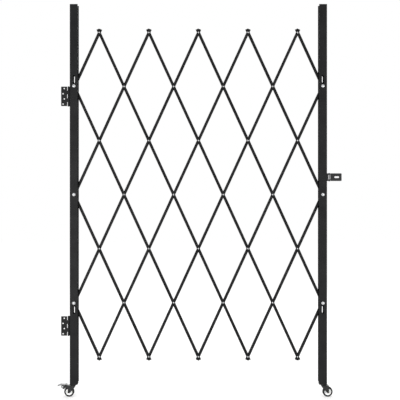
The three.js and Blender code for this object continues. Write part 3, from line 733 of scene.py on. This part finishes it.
# %% Tree: fasteners at points
set_tree, given, result = geometry_tree("Fasteners_at_points", {
    "Fastener": "o", "Axis": "v", "Least turn": "f", "Most turn": "f", "Least size": "f", "Seed": "i",
    "Material": "m",
})
shape = node(set_tree, "GeometryNodeObjectInfo", {"Object": given["Fastener"], "As Instance": True})
keys = {2: given["Least turn"], 3: given["Most turn"], "Seed": given["Seed"]}
spin = node(set_tree, "FunctionNodeRandomValue", keys, data_type="FLOAT").outputs[1]
facing = node(set_tree, "FunctionNodeAxisAngleToRotation", {"Axis": given["Axis"], "Angle": spin})
keys = {2: given["Least size"], 3: 1.0, "Seed": given["Seed"]}
bulk = node(set_tree, "FunctionNodeRandomValue", keys, data_type="FLOAT").outputs[1]
keys = {"Points": given["Geometry"], "Instance": shape.outputs["Geometry"]}
keys.update({"Rotation": facing, "Scale": bulk})
finished(set_tree, node(set_tree, "GeometryNodeInstanceOnPoints", keys), given["Material"], result)


def fasteners(name, points, fastener, axis, material, turns=(0.0, 6.28), least=1.0, seed=1):
    values = {"Fastener": fastener, "Axis": axis, "Least turn": turns[0], "Most turn": turns[1],
              "Least size": least, "Seed": seed, "Material": material}
    return grown(name, set_tree, values, points)


# %% [markdown]
# The bar's section and the pivots' rule
#
# A front bar falls to the right and a rear bar rises. Along a front bar the column less the row stays
# the same, along a rear bar their sum does, and that is enough to find every pivot. The section is
# drawn once as a closed curve with round bends.

# %% Lattice
LAST_COLUMN, LAST_ROW, MIDDLE_ROW = 10, 6, 3
left_pivot, right_pivot = post_line["left"], post_line["right"]
half_pitch = (right_pivot.x - left_pivot.x) / LAST_COLUMN
row_pitch = (middle("left_upper_pivot_bolt").z - left_pivot.z) / (MIDDLE_ROW - 1)
pitch = math.hypot(half_pitch, row_pitch)
lean = math.atan2(row_pitch, half_pitch)


def pivot_at(column, row):
    x = left_pivot.x + column * half_pitch
    return Vector((x, gate_y, left_pivot.z + (MIDDLE_ROW - row) * row_pitch))


def pivots_of(number, layer):
    if layer == "front":
        found = [(2 * number - 7 + row, row) for row in range(LAST_ROW + 1)]
    else:
        found = [(2 * number - 1 - row, row) for row in range(LAST_ROW, -1, -1)]
    return [(column, row) for column, row in found if 0 <= column <= LAST_COLUMN]


def at_post(pivot):
    return pivot[0] in (0, LAST_COLUMN)


BAR_WIDTH, BAR_DEPTH, BAR_WALL, BACK = 14.5, 6.0, 1.2, 0.15
half, inner = BAR_WIDTH / 2, BAR_WIDTH / 2 - BAR_WALL
corners = [(-half, -BAR_DEPTH), (-inner, -BAR_DEPTH), (-inner, -BAR_WALL), (inner, -BAR_WALL),
           (inner, -BAR_DEPTH), (half, -BAR_DEPTH), (half, 0), (-half, 0)]
radii = [0.2, 0.2, 0.6, 0.6, 0.2, 0.2, 1.6, 1.6]
section_points = [((BACK - y) * MM, x * MM) for x, y in rounded(corners, radii, 3)]
section_curve = bpy.data.curves.new("Bar_section", "CURVE")
section_curve.dimensions = "3D"
spline = section_curve.splines.new("POLY")
spline.points.add(len(section_points) - 1)
for point, (x, y) in zip(spline.points, section_points):
    point.co = (x, y, 0, 1)
spline.use_cyclic_u = True
bar_section = linked("Bar_section", section_curve)

rivet_profile = [(0, -3.35), (2.2, -3.05), (3.8, -2.3), (4.6, -1.35), (2.5, -1.35), (2.5, 1.65),
                 (4.1, 1.65), (4.1, 2.5), (2.2, 3.25), (1.1, 3.25), (0.9, 2.4), (0, 2.4)]
rivet_radii = [0, 1.5, 1.2, 0.25, 0, 0, 0, 0.6, 0.3, 0.2, 0.2, 0]
rivet = as_object("Rivet", turned(rounded(rivet_profile, rivet_radii, 2, False), 16), turn(-90, "X"))

# %% Bars and rivets
BAR_END, POST_DRILL, DRILLS = 18.0, 3.3, {"front": 2.6, "rear": 2.8}
ALONG_Y = (0, 1, 0)
for layer, drill in DRILLS.items():
    for number in range(1, 9):
        found = pivots_of(number, layer)
        first, last = [POST_DRILL if at_post(found[end]) else drill for end in (0, -1)]
        bar = grown(f"{layer}_bar_{number}_channel", bar_tree, {
            "Section": bar_section, "Pivots": len(found), "Pitch": pitch,
            "Before": BAR_END * MM, "After": BAR_END * MM,
            "First drill": first * MM, "Drill": drill * MM, "Last drill": last * MM,
            "Turn": (0.0, lean, 0.0) if layer == "front" else (math.pi, -lean, 0.0),
            "First pivot": pivot_at(*found[0]), "Material": black_coat,
        }, bevel=0.15)
        stands_for(bar, f"{layer}_bar_{number}")
        if layer == "front":
            places = [pivot_at(*pivot) for pivot in found if not at_post(pivot)]
            rivets = fasteners(f"front_bar_{number}_rivets", places, rivet, ALONG_Y, zinc, seed=number)
            goes_with(rivets, f"front_bar_{number}")
print("pitch", round(pitch, 4), "lean", round(math.degrees(lean), 2), "bar faces", len(bar.data.polygons))
bpy.data.objects.remove(rivet)
bpy.data.objects.remove(bar_section)

# %% [markdown]
# Post pivots
#
# A screw with a low domed head meets a barrel nut from behind, and both bars turn between them. Each
# of the two has one straight slot across its head. It is turned as a whole and then slotted with a
# thin box, because a slot is the one thing a lathe can't leave.


# %% Pivot screws and barrel nuts
def box_tool(low, high, place=Matrix.Identity(4)):
    bm = bmesh.new()
    bmesh.ops.create_cube(bm, size=1)
    for vert in bm.verts:
        vert.co = [low[k] if vert.co[k] < 0 else high[k] for k in range(3)]
    return as_object("Tool", bm, place)


head = [(0, -22.5), (4.6, -21.9), (7.4, -20.6), (8, -19.9), (8, -19.3), (4.5, -19.3)]
screw_profile = [*head, (4.5, -1.65), (3, -1.65), (3, 11.7), (2.4, 12.3), (0, 12.3)]
screw_radii = [0, 6, 1.6, 0.4, 0.3, 0.5, 0.3, 0.2, 0.2, 0.2, 0]
nut_profile = [(0, 12.65), (3.3, 12.65), (3.3, 1.65), (4.5, 1.65), (4.5, 19.3), (8, 19.3), (8, 19.9),
               (7.4, 20.6), (4.6, 21.9), (0, 22.5)]
nut_radii = [0, 0.2, 0.2, 0.3, 0.5, 0.3, 0.4, 1.6, 6, 0]
SLOT_FLOOR, PAST_HEAD, SLOT_WIDTH, SET_TURNS = 21.1, 24.0, 1.6, (-0.25, 0.25)
to_y = turn(-90, "X")
drawn = {"bolt": (screw_profile, screw_radii, -1), "nut": (nut_profile, nut_radii, 1)}
pivot_parts = {}
for part, (profile, radii, face) in drawn.items():
    solid = as_object(f"Pivot_{part}", turned(rounded(profile, radii, 4, False), 40), to_y)
    near, far = sorted((face * SLOT_FLOOR, face * PAST_HEAD))
    slot = box_tool((-9, near, -SLOT_WIDTH / 2), (9, far, SLOT_WIDTH / 2))
    pivot_parts[part] = shaped(solid, [slot])

for side in SIDES:
    for row in ROWS:
        for part, made in pivot_parts.items():
            name = f"{side}_{row}_pivot_{part}"
            spot = Vector((post_line[side].x, gate_y, middle(name).z))
            seed = len(name)
            piece = fasteners(f"{name}_slotted", [spot], made, ALONG_Y, zinc, SET_TURNS, seed=seed)
            stands_for(piece, name)
for made in pivot_parts.values():
    bpy.data.objects.remove(made)

# %% [markdown]
# Butt hinges
#
# Each leaf is a blank with fingers: two or three of them curl round the pin as knuckles, and between
# them the edge is cut back for the other leaf. A tube could stand in for the barrel, but a folded
# finger shows the real seam, where the curl comes back to the plate. Screw holes are countersunk on
# the side away from the wall or post.

# %% Hinge leaves
LEVELS = ("upper", "lower")
HINGE, LEAF, RELIEF, CURL, CURL_TURN = 98.0, 37.0, 6.6, 3.0, 290
KNUCKLES, SLACK, LEAF_WALL, SCREW_HOLE, SCREW_PITCH = 5, 0.15, 2.0, 3.3, 26
FAR_SCREW, NEAR_SCREW = LEAF - 27, LEAF - 21
leaf_bends = [(LEAF, CURL_TURN, CURL)]
curl_length = math.radians(CURL_TURN) * CURL
screw_rows = [(NEAR_SCREW if hole % 2 else FAR_SCREW, (hole - 1.5) * SCREW_PITCH) for hole in range(4)]


def leaf_blank(first):
    knuckle = HINGE / KNUCKLES
    edge = []
    for index in range(KNUCKLES):
        own = index % 2 == first
        slack = SLACK if own else -SLACK
        low = index * knuckle - HINGE / 2 + (slack if index else 0)
        high = (index + 1) * knuckle - HINGE / 2 - (slack if index < KNUCKLES - 1 else 0)
        reach = LEAF + curl_length if own else LEAF - RELIEF
        edge += [(reach, low), (reach, high)]
    outline = [(0, -HINGE / 2), *edge, (0, HINGE / 2)]
    radii = [3] + [0.5] * len(edge) + [3]
    holes = [circle(x, y, SCREW_HOLE) for x, y in screw_rows]
    sheet = blank(rounded(outline, radii, 4), holes, LEAF_WALL, 0.25, leaf_bends, 28)
    return fold(sheet, leaf_bends)


def countersinks(place):
    wide = [(0, -2.4), (5.6, -2.4), (3.25, -4.75), (0, -4.75)]
    spots = [place @ at((x - LEAF) * MM, 0, y * MM) for x, y in screw_rows]
    return [as_object("Tool", turned(wide, 28), spot @ to_y) for spot in spots]


hinge_places = {}
for level in LEVELS:
    wall_place = at(*middle(f"{level}_hinge_pin"))
    gate_place = wall_place @ turn(-90, "Z") @ turn(180, "X")
    hinge_places[level] = gate_place
    for kind, first, place in (("wall", 1, wall_place), ("gate", 0, gate_place)):
        sheet = place @ at(-LEAF * MM, -CURL * MM, 0)
        leaf = as_object(f"{level}_{kind}_leaf_folded", leaf_blank(first), sheet, black_coat)
        shaped(leaf, countersinks(place))
        stands_for(leaf, f"{level}_{kind}_leaf")
print("hinge leaf faces", len(leaf.data.polygons))

# %% [markdown]
# Hinge pins and the screws of the gate leaves
#
# The pins are turned, with a low button at each end. The gate leaves are held by countersunk screws
# with cross recesses, set by the same fastener tree, each with its own turn.

# %% Pins and screws
def pin(radius, head, height, half, sides=28):
    """A rod with a low button at each end, turned about Z."""
    end = half + 0.3 + height
    upper = [(radius, half + 0.3), (head, half + 0.3), (head, end - 0.3), (0, end)]
    lower = [(r, -h) for r, h in reversed(upper)]
    return turned(rounded([*lower, *upper], [0, 0.6, 0.3, 0.2, 0.2, 0.3, 0.6, 0], 3, False), sides)


PIN, BUTTON, BUTTON_HEIGHT, PIN_BORE = 2.5, 4, 1.5, 2.8
for level in LEVELS:
    rod = pin(PIN, BUTTON, BUTTON_HEIGHT, HINGE / 2)
    pin_name = f"{level}_hinge_pin"
    dressed(f"{level}_hinge_rod", rod, at(*middle(pin_name)), black_coat, pin_name)

cone_screw = [(0, -2.95), (4.6, -3.0), (4.95, -3.2), (3.0, -5.0), (0, -5.0)]
screw = as_object("Countersunk_screw", turned(rounded(cone_screw, [0, 1, 0.2, 0, 0], 3, False), 28), to_y)
cross = [box_tool((-x, -4.4, -z), (x, -2, z)) for x, z in ((2.6, 0.45), (0.45, 2.6))]
shaped(screw, cross)
screw.data.transform(turn(90, "Z"))
for level, place in hinge_places.items():
    points = [place @ Vector(((x - LEAF) * MM, 0, y * MM)) for x, y in screw_rows]
    seed = len(level) + 7
    screws = fasteners(f"{level}_gate_leaf_screws", points, screw, (1, 0, 0), black_coat, seed=seed)
    goes_with(screws, f"{level}_gate_leaf")
    print(screws.name, len(points), "screws")
bpy.data.objects.remove(screw)

# %% [markdown]
# Hasp
#
# A bracket welded to the right post carries two ears, and a thick strap swings between them on a pin.
# A block between the ears closes the gap behind the pin. The strap has a window at its root, where a
# finger can lift it, and the slot that goes over the staple. Plates are blanks without folds; the
# strap's knuckles are short tubes joined to it.

# %% Hasp bracket, strap and pin
HASP_HALF, BRACKET, BRACKET_BACK, EAR = 19.5, 2.5, -14, 4.2
ARM_TOP, WINDOW, SHOULDER, REACH, STRAP_END, STRAP_HALF = 15.0, 11.0, 6.0, 4.5, 62.3, 1.5
hasp = middle("hasp_pin")
hasp_place = at(*hasp)
to_xz = turn(90, "X")


def flat_plate(name, outline, holes, low, high, place, edge=0.35, material=None):
    return as_object(name, blank(outline, holes, high - low, edge), place @ at(0, 0, low * MM), material)


plate_place = hasp_place @ at(BRACKET_BACK * MM, 0, 0) @ turn(90, "Y") @ turn(90, "Z")
base_outline = rounded(oblong(-15, -HASP_HALF, 15, HASP_HALF), 2.5, 4)
bracket = flat_plate("hasp_bracket", base_outline, [], 0, BRACKET, plate_place)
ear_outline = [(-12.6, -5), (-9, -5), (0, -5), (5, -5), (5, 5), (0, 5), (-9, 5), (-12.6, 5)]
ear = rounded(ear_outline, [0, 0, 0, 5, 5, 0, 0, 0], 8)
bore = circle(0, 0, PIN_BORE)
ears = [flat_plate("Ear", ear, [bore], low, low + EAR, hasp_place) for low in (-HASP_HALF, HASP_HALF - EAR)]
rest_pad = box_tool((-12, -4, -15.6), (-5.1, 4, 15.6), hasp_place)
shaped(bracket, [*ears, rest_pad], "UNION")
coated(bracket, stamped_coat, "hasp_base")

strap_outline = [
    (0, -ARM_TOP), (SHOULDER, -ARM_TOP), (SHOULDER, -HASP_HALF), (STRAP_END, -HASP_HALF),
    (STRAP_END, HASP_HALF), (SHOULDER, HASP_HALF), (SHOULDER, ARM_TOP), (0, ARM_TOP),
    (0, WINDOW), (REACH, WINDOW), (REACH, -WINDOW), (0, -WINDOW),
]
strap_loop = rounded(strap_outline, [0, 0.2, 2, 4, 4, 2, 0.2, 0, 0, 1.5, 1.5, 0], 4)
staple_slot = rounded(oblong(25.9, -4.2, 49.1, 4.2), 3.0, 6)
strap_place = hasp_place @ to_xz
strap = flat_plate("hasp_strap_plate", strap_loop, [staple_slot], -STRAP_HALF, STRAP_HALF, strap_place)
knuckles = []
for low, high in ((-ARM_TOP, -WINDOW), (WINDOW, ARM_TOP)):
    tube = rounded(oblong(PIN_BORE, low, 4.7, high), 0.3, 2)
    knuckles.append(as_object("Knuckle", turned(tube, 32, True), hasp_place))
shaped(strap, knuckles, "UNION")
bored(strap, PIN_BORE, -16, 16, hasp_place)
coated(strap, stamped_coat, "hasp_strap")
dressed("hasp_rod", pin(PIN, BUTTON, BUTTON_HEIGHT, HASP_HALF), hasp_place, black_coat, "hasp_pin")

# %% [markdown]
# Casters: plate, ball race and kingpin
#
# Under each post a flat plate is welded in, the ball race lies between it and the fork, and a
# riveted kingpin holds all three. The race is two stamped cups with a groove between them, turned as
# one ring.

# %% Caster plates, races and kingpins
FORK_TOP, PLATE_LOW, PLATE_TOP, KINGPIN_HOLE = 57.1, 62.7, 65.7, 4.3
plate_low, plate_high = [(corner - middle("left_kingpin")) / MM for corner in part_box("left_caster_plate")]
plate_outline = rounded(oblong(plate_low.x, plate_low.y, plate_high.x, plate_high.y), 1.2, 3)
race_profile = [(4.3, 57.4), (12.2, 57.4), (14.6, 58.0), (15.5, 59.2), (14.9, 59.75), (13.9, 59.8),
                (13.9, 60.2), (14.9, 60.25), (15.5, 60.9), (14.8, 62.0), (12.5, 62.4), (4.3, 62.4)]
kingpin_profile = [(0, 52.2), (5.2, 52.2), (6.2, 53.0), (6.2, 54.6), (4, 54.6), (4, 66.0), (7, 66.0),
                   (6.6, 67.6), (4.2, 69.0), (0, 69.0)]
kingpin_radii = [0, 0.6, 0.4, 0.3, 0.1, 0.1, 0.3, 0.8, 1.6, 0]
caster_place = {}
for side, half_turn in (("left", 0), ("right", 180)):
    swivel = middle(f"{side}_kingpin")
    place = at(swivel.x, swivel.y, 0) @ turn(half_turn, "Z")
    caster_place[side] = place
    top_plate = flat_plate(f"{side}_caster_top_plate", plate_outline, [circle(0, 0, KINGPIN_HOLE)],
                           PLATE_LOW, PLATE_TOP, place, 0.3, black_coat)
    stands_for(top_plate, f"{side}_caster_plate")
    race = turned(rounded(race_profile, 0.35, 3), 48, True)
    dressed(f"{side}_ball_race", race, place, stamped_coat, f"{side}_swivel_race")
    king = turned(rounded(kingpin_profile, kingpin_radii, 3, False), 32)
    dressed(f"{side}_kingpin_rivet", king, place, zinc, f"{side}_kingpin")

# %% [markdown]
# Forks
#
# A fork is pressed from one flat blank: two legs and the top between them. The braked one has two
# longer arms behind, with an opening in the top where the pedal works.

# %% Forks
FORK_WALL, FORK_HALF, FORK_BEND = 2.2, 14.5, 0.8
FORK_FRONT, FORK_REAR, TOE, AXLE_HOLE = 12.0, 24.0, 6.2, 3.3
BAY_END, BAY_HALF, BAY_LOW, BAY_TOP = -30, 12.3, 53, 60
leg_top = FORK_TOP - FORK_WALL - FORK_BEND
bend_run = math.pi / 2 * FORK_BEND
second_bend = leg_top + bend_run + 2 * (FORK_HALF - FORK_WALL - FORK_BEND)
fork_bends = [(leg_top, 90, FORK_BEND), (second_bend, 90, FORK_BEND)]
blank_middle = leg_top + bend_run + FORK_HALF - FORK_WALL - FORK_BEND
swivel_x = middle("left_kingpin").x
trail = (swivel_x - middle("left_wheel_core").x) / MM
axle_z = middle("left_wheel_core").z / MM
brake_x = (middle("brake_pin").x - swivel_x) / MM
brake_z = middle("brake_pin").z / MM
print("trail", round(trail, 2), "brake arm", round(brake_x, 2), round(brake_z, 2))


def fork_blank(braked):
    toe = [(z, x) for x, z in arc(-trail, axle_z, TOE, 330, 180, 10)]
    leg = [(51.1, FORK_FRONT), *toe, (45.1, -FORK_REAR)]
    radii = [3.5] + [0] * len(toe) + [3 if braked else 4]
    bores = [(axle_z, -trail, AXLE_HOLE)]
    if braked:
        arm = [(z, x) for x, z in arc(brake_x, brake_z, 5, 270, 90, 8)]
        leg += arm
        radii += [0] * len(arm)
        bores.append((brake_z, brake_x, PIN_BORE))
    far = [(2 * blank_middle - z, x) for z, x in reversed(leg)]
    outline = rounded(leg + far, radii + radii[::-1], 4)
    holes = [circle(blank_middle, 0, KINGPIN_HOLE)]
    for z, x, radius in bores:
        holes += [circle(z, x, radius), circle(2 * blank_middle - z, x, radius)]
    return fold(blank(outline, holes, FORK_WALL, 0.35, fork_bends, 6), fork_bends)


stand = Matrix(((0, 0, 1, 0), (0, 1, 0, -(FORK_HALF - FORK_WALL) * MM), (1, 0, 0, 0), (0, 0, 0, 1)))
for side in SIDES:
    braked = side == "left"
    fork = as_object(f"{side}_fork_pressing", fork_blank(braked), caster_place[side] @ stand, stamped_coat)
    if braked:
        low, high = (brake_x - 8, -BAY_HALF, BAY_LOW), (BAY_END, BAY_HALF, BAY_TOP)
        shaped(fork, [box_tool(low, high, caster_place[side])])
    stands_for(fork, f"{side}_fork")
    print(fork.name, len(fork.data.polygons), "faces")

# %% [markdown]
# Wheels
#
# The wheel's centre is moulded in off-white nylon: a hub, a thin web with ribs, and a rim. The ribs
# repeat round the axle, so a small tree instances one rib at even turns. The tyre is a ring with a
# round crown, a lip on each side that covers the rim, and a fine parting line from its mould.

# %% Tree: ribs round a hub
inputs = {"Rib": "o", "Ribs": "i", "Place": "v", "Material": "m"}
rib_tree, given, result = geometry_tree("Ribs_round_a_hub", inputs)
one_rib = node(rib_tree, "GeometryNodeObjectInfo", {"Object": given["Rib"], "As Instance": True})
points = node(rib_tree, "GeometryNodeMeshLine", {"Count": given["Ribs"], "Offset": (0.0, 0.0, 0.0)})
share = maths(rib_tree, "DIVIDE", 2 * math.pi, given["Ribs"])
angle = maths(rib_tree, "MULTIPLY", node(rib_tree, "GeometryNodeInputIndex"), share)
about = node(rib_tree, "FunctionNodeAxisAngleToRotation", {"Axis": (0, 1, 0), "Angle": angle})
keys = {"Points": points, "Instance": one_rib.outputs["Geometry"], "Rotation": about}
ring = node(rib_tree, "GeometryNodeInstanceOnPoints", keys)
ring = node(rib_tree, "GeometryNodeTransform", {"Geometry": ring, "Translation": given["Place"]})
finished(rib_tree, ring, given["Material"], result)

# %% Wheels
RIBS, RIB_WIDTH = 8, 12.4
half_core = [(3.3, -12), (7.5, -12), (7.5, -2.6), (9, -2), (13.1, -2), (14.1, -2.8),
             (14.1, -9.2), (17.7, -9.2)]
half_core_radii = [0.4, 0.6, 1, 1, 0.8, 0.8, 0.5, 0.4]
half_tread = [(18, -9.3), (16.5, -9.3), (16.5, -9.75), (20.6, -9.8), (20.9, -9.55), (21.9, -9.55),
              (22.2, -9.7), (24.5, -7.8), (25.4, -4), (25.5, -0.25)]
half_tread_radii = [0.1, 0.15, 0.2, 0.2, 0.2, 0.2, 1.4, 2.2, 2.5, 0.05]


def mirrored(half, radii, middle_point=()):
    """Completes a ring's profile, given for one side of the wheel, with its mirror image."""
    far = [(r, -y) for r, y in reversed(half)]
    return half + list(middle_point) + far, radii + [0] * len(middle_point) + radii[::-1]


core, core_radii = mirrored(half_core, half_core_radii)
tread, tread_radii = mirrored(half_tread, half_tread_radii, [(25.3, 0)])
rib_outline = rounded(oblong(7.2, -0.8, 14.4, 0.8), 0.1, 1)
rib_place = at(0, RIB_WIDTH / 2 * MM, 0) @ turn(90, "X")
rib = as_object("Rib", blank(rib_outline, [], RIB_WIDTH, 0.2), rib_place)
for side in SIDES:
    hub = middle(f"{side}_wheel_core")
    place = at(*hub) @ to_y
    centre = turned(rounded(core, core_radii, 3), 56, True)
    dressed(f"{side}_wheel_centre", centre, place, nylon, f"{side}_wheel_core")
    values = {"Rib": rib, "Ribs": RIBS, "Place": hub, "Material": nylon}
    goes_with(grown(f"{side}_wheel_ribs", rib_tree, values), f"{side}_wheel_core")
    tyre = turned(rounded(tread, tread_radii, 3), 64, True)
    dressed(f"{side}_wheel_tyre", tyre, place, rubber, f"{side}_tyre")
bpy.data.objects.remove(rib)

# %% [markdown]
# Axles
#
# A hexagon is a six-sided prism, but a real bolt head is also turned: its corners are cut back by a
# cone. Here the prism and a turned chamfer share their common part.


# %% Axle bolts and nuts
HEX, SEAT, HEAD_HEIGHT, NUT_HEIGHT = 5.8, 14.8, 4.0, 5.0
SHANK, PAST_NUT, THREAD, THREAD_DEPTH = 3.0, 1.5, 1.0, 0.45
corner_up = turn(30, "Z")


def hexagon(name, low, high, place, chamfered):
    prism = as_object(name, turned(oblong(0, low, HEX, high), 6), place @ corner_up)
    wide, narrow, drop = HEX + 0.3, HEX - 0.6, 0.7
    foot, crown = [narrow if end in chamfered else wide for end in ("low", "high")]
    cone = [(0, low - 0.01), (foot, low - 0.01), (wide, low + drop),
            (wide, high - drop), (crown, high + 0.01), (0, high + 0.01)]
    return shaped(prism, [as_object("Tool", turned(cone, 48), place)], "INTERSECT")


shank_end = SEAT + NUT_HEIGHT + PAST_NUT
threads = []
for crest in range(6):
    start = SEAT + 0.1 + crest * THREAD
    threads += [(SHANK, start), (SHANK - THREAD_DEPTH, start + THREAD / 2)]
shank_profile = [(0, -SEAT - 2), (SHANK, -SEAT - 2), (SHANK, SEAT - 0.2), *threads,
                 (SHANK - 0.5, shank_end), (0, shank_end)]
for side in SIDES:
    place = at(*middle(f"{side}_wheel_core")) @ turn(180 if side == "right" else 0, "Z") @ to_y
    bolt = hexagon(f"{side}_axle_screw", -SEAT - HEAD_HEIGHT, -SEAT, place, ("low",))
    shaped(bolt, [as_object("Shank", turned(shank_profile, 24), place)], "UNION")
    nut = hexagon(f"{side}_axle_lock_nut", SEAT, SEAT + NUT_HEIGHT, place, ("low", "high"))
    bored(nut, AXLE_HOLE - 0.05, SEAT - 5, shank_end + 2, place)
    coated(bolt, stamped_coat, f"{side}_axle_bolt")
    coated(nut, stamped_coat, f"{side}_axle_nut")

# %% [markdown]
# Brake pedal
#
# The left caster has a rocking pedal on a pin: two winged pads and a cam under them that swings
# towards the tyre. The pads are one bent plate with grip grooves across the wings, and the cam is a
# rounded block joined to it.

# %% Brake pedal and its pin
PEDAL, PEDAL_HALF, CAM_HALF = 3.0, 14, 12.0
CAM, NOSE, NOSE_REACH, NOSE_TURN = 8, 3, 11.3, -60
pedal_place = at(*middle("brake_pin"))


def grooved(start, end, count, width=1.1, depth=0.6):
    """A straight line from start to end with even round-bottomed grooves pressed into it."""
    start, end = Vector(start), Vector(end)
    along = (end - start).normalized()
    into = Vector((-along.y, along.x)) * depth
    points = [tuple(start)]
    for groove in range(1, count + 1):
        spot = start.lerp(end, groove / (count + 1))
        points += [tuple(spot - along * width / 2), tuple(spot + into), tuple(spot + along * width / 2)]
    return points + [tuple(end)]


def above(point):
    return point[0], point[1] + PEDAL


toe, toe_crest, seat_front, seat_rear, crest, heel = lower_line = [
    (-27, 2.9), (-13.5, 7.6), (-6, 6.7), (6, 6.7), (13.5, 8.9), (20, 7.3)]
heel_pad = grooved(above(heel), above(crest), 2)
toe_pad = grooved(above(toe_crest), above(toe), 4)
upper_line = [*heel_pad, above(seat_rear), above(seat_front), *toe_pad]
pad_radii = [1] + [3] * 4 + [1] * 2 + [0.3] * 6 + [4] * 4 + [0.3] * 12 + [1]
pads_outline = rounded(lower_line + upper_line, pad_radii, 3)
print("pedal outline", len(pads_outline), "points")
pads = flat_plate("brake_rocker", pads_outline, [], -PEDAL_HALF, PEDAL_HALF, pedal_place @ to_xz)
flank = math.degrees(math.acos((CAM - NOSE) / NOSE_REACH))
nose_turn = math.radians(NOSE_TURN)
nose = (NOSE_REACH * math.cos(nose_turn), NOSE_REACH * math.sin(nose_turn))
cam_round = arc(0, 0, CAM, NOSE_TURN + flank, NOSE_TURN + 360 - flank, 20)
nose_round = arc(*nose, NOSE, NOSE_TURN - flank, NOSE_TURN + flank, 6)
cam = flat_plate("Cam", cam_round + nose_round, [], -CAM_HALF, CAM_HALF, pedal_place @ to_xz, 0.3)
shaped(pads, [cam], "UNION")
bored(pads, PIN_BORE, -15, 15, pedal_place @ to_y, 28)
coated(pads, pedal_coat, "brake_pedal")
rod = as_object("brake_rod", pin(PIN, 4.2, BUTTON_HEIGHT, FORK_HALF), pedal_place @ to_y, stamped_coat)
rod.data.materials.append(zinc)
axis = middle("brake_pin")
for face in rod.data.polygons:
    off_axis = math.hypot(face.center.x - axis.x, face.center.z - axis.z)
    face.material_index = 1 if off_axis < 2.6 * MM else 0
stands_for(rod, "brake_pin")

# %% [markdown]
# Welds
#
# The caster plates and the hasp bracket are welded before the gate is coated, so their beads are
# black too. A bead is a row of overlapping drops along the joint, set by the fastener tree with a
# little change in size.

# %% Weld beads
LEAST_DROP, DROP_STEP, OUT, DOWN = 0.75, 0.9, 0.3, 0.1
drop_mesh = bmesh.new()
bmesh.ops.create_icosphere(drop_mesh, subdivisions=2, radius=1.0)
drop = as_object("Weld_drop", drop_mesh, smooth=60)


def weld(name, corners, node_name, seed):
    """Lays a bead of drops along the lines between the corners."""
    points = []
    for start, end in zip(corners, corners[1:]):
        start, end = Vector(start), Vector(end)
        count = max(1, round((end - start).length / (DROP_STEP * MM)))
        points += [start.lerp(end, i / count) for i in range(count)]
    points.append(Vector(corners[-1]))
    bead = fasteners(name, points, drop, (0, 0, 1), black_coat, least=LEAST_DROP, seed=seed)
    goes_with(bead, node_name)


for side in SIDES:
    post_low, post_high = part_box(f"{side}_post")
    plate_low, plate_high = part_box(f"{side}_caster_plate")
    web, open_end = (post_low.x, plate_high.x) if side == "left" else (post_high.x, plate_low.x)
    front, back, z = plate_low.y - OUT * MM, plate_high.y + OUT * MM, plate_high.z - DOWN * MM
    corners = [(open_end, front, z), (web, front, z), (web, back, z), (open_end, back, z)]
    weld(f"{side}_caster_plate_weld", corners, f"{side}_post", 3)
for name, offset in (("front", -15.1), ("back", 15.1)):
    x, y = hasp.x - 13.3 * MM, hasp.y + offset * MM
    weld(f"hasp_weld_{name}", [(x, y, hasp.z - 17 * MM), (x, y, hasp.z + 17 * MM)], "hasp_base", 5)
bpy.data.objects.remove(drop)

# %% [markdown]
# Last look
#
# The dressed gate must fill the same box as the solids, so its box is measured here.

# %% Sizes
low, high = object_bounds()
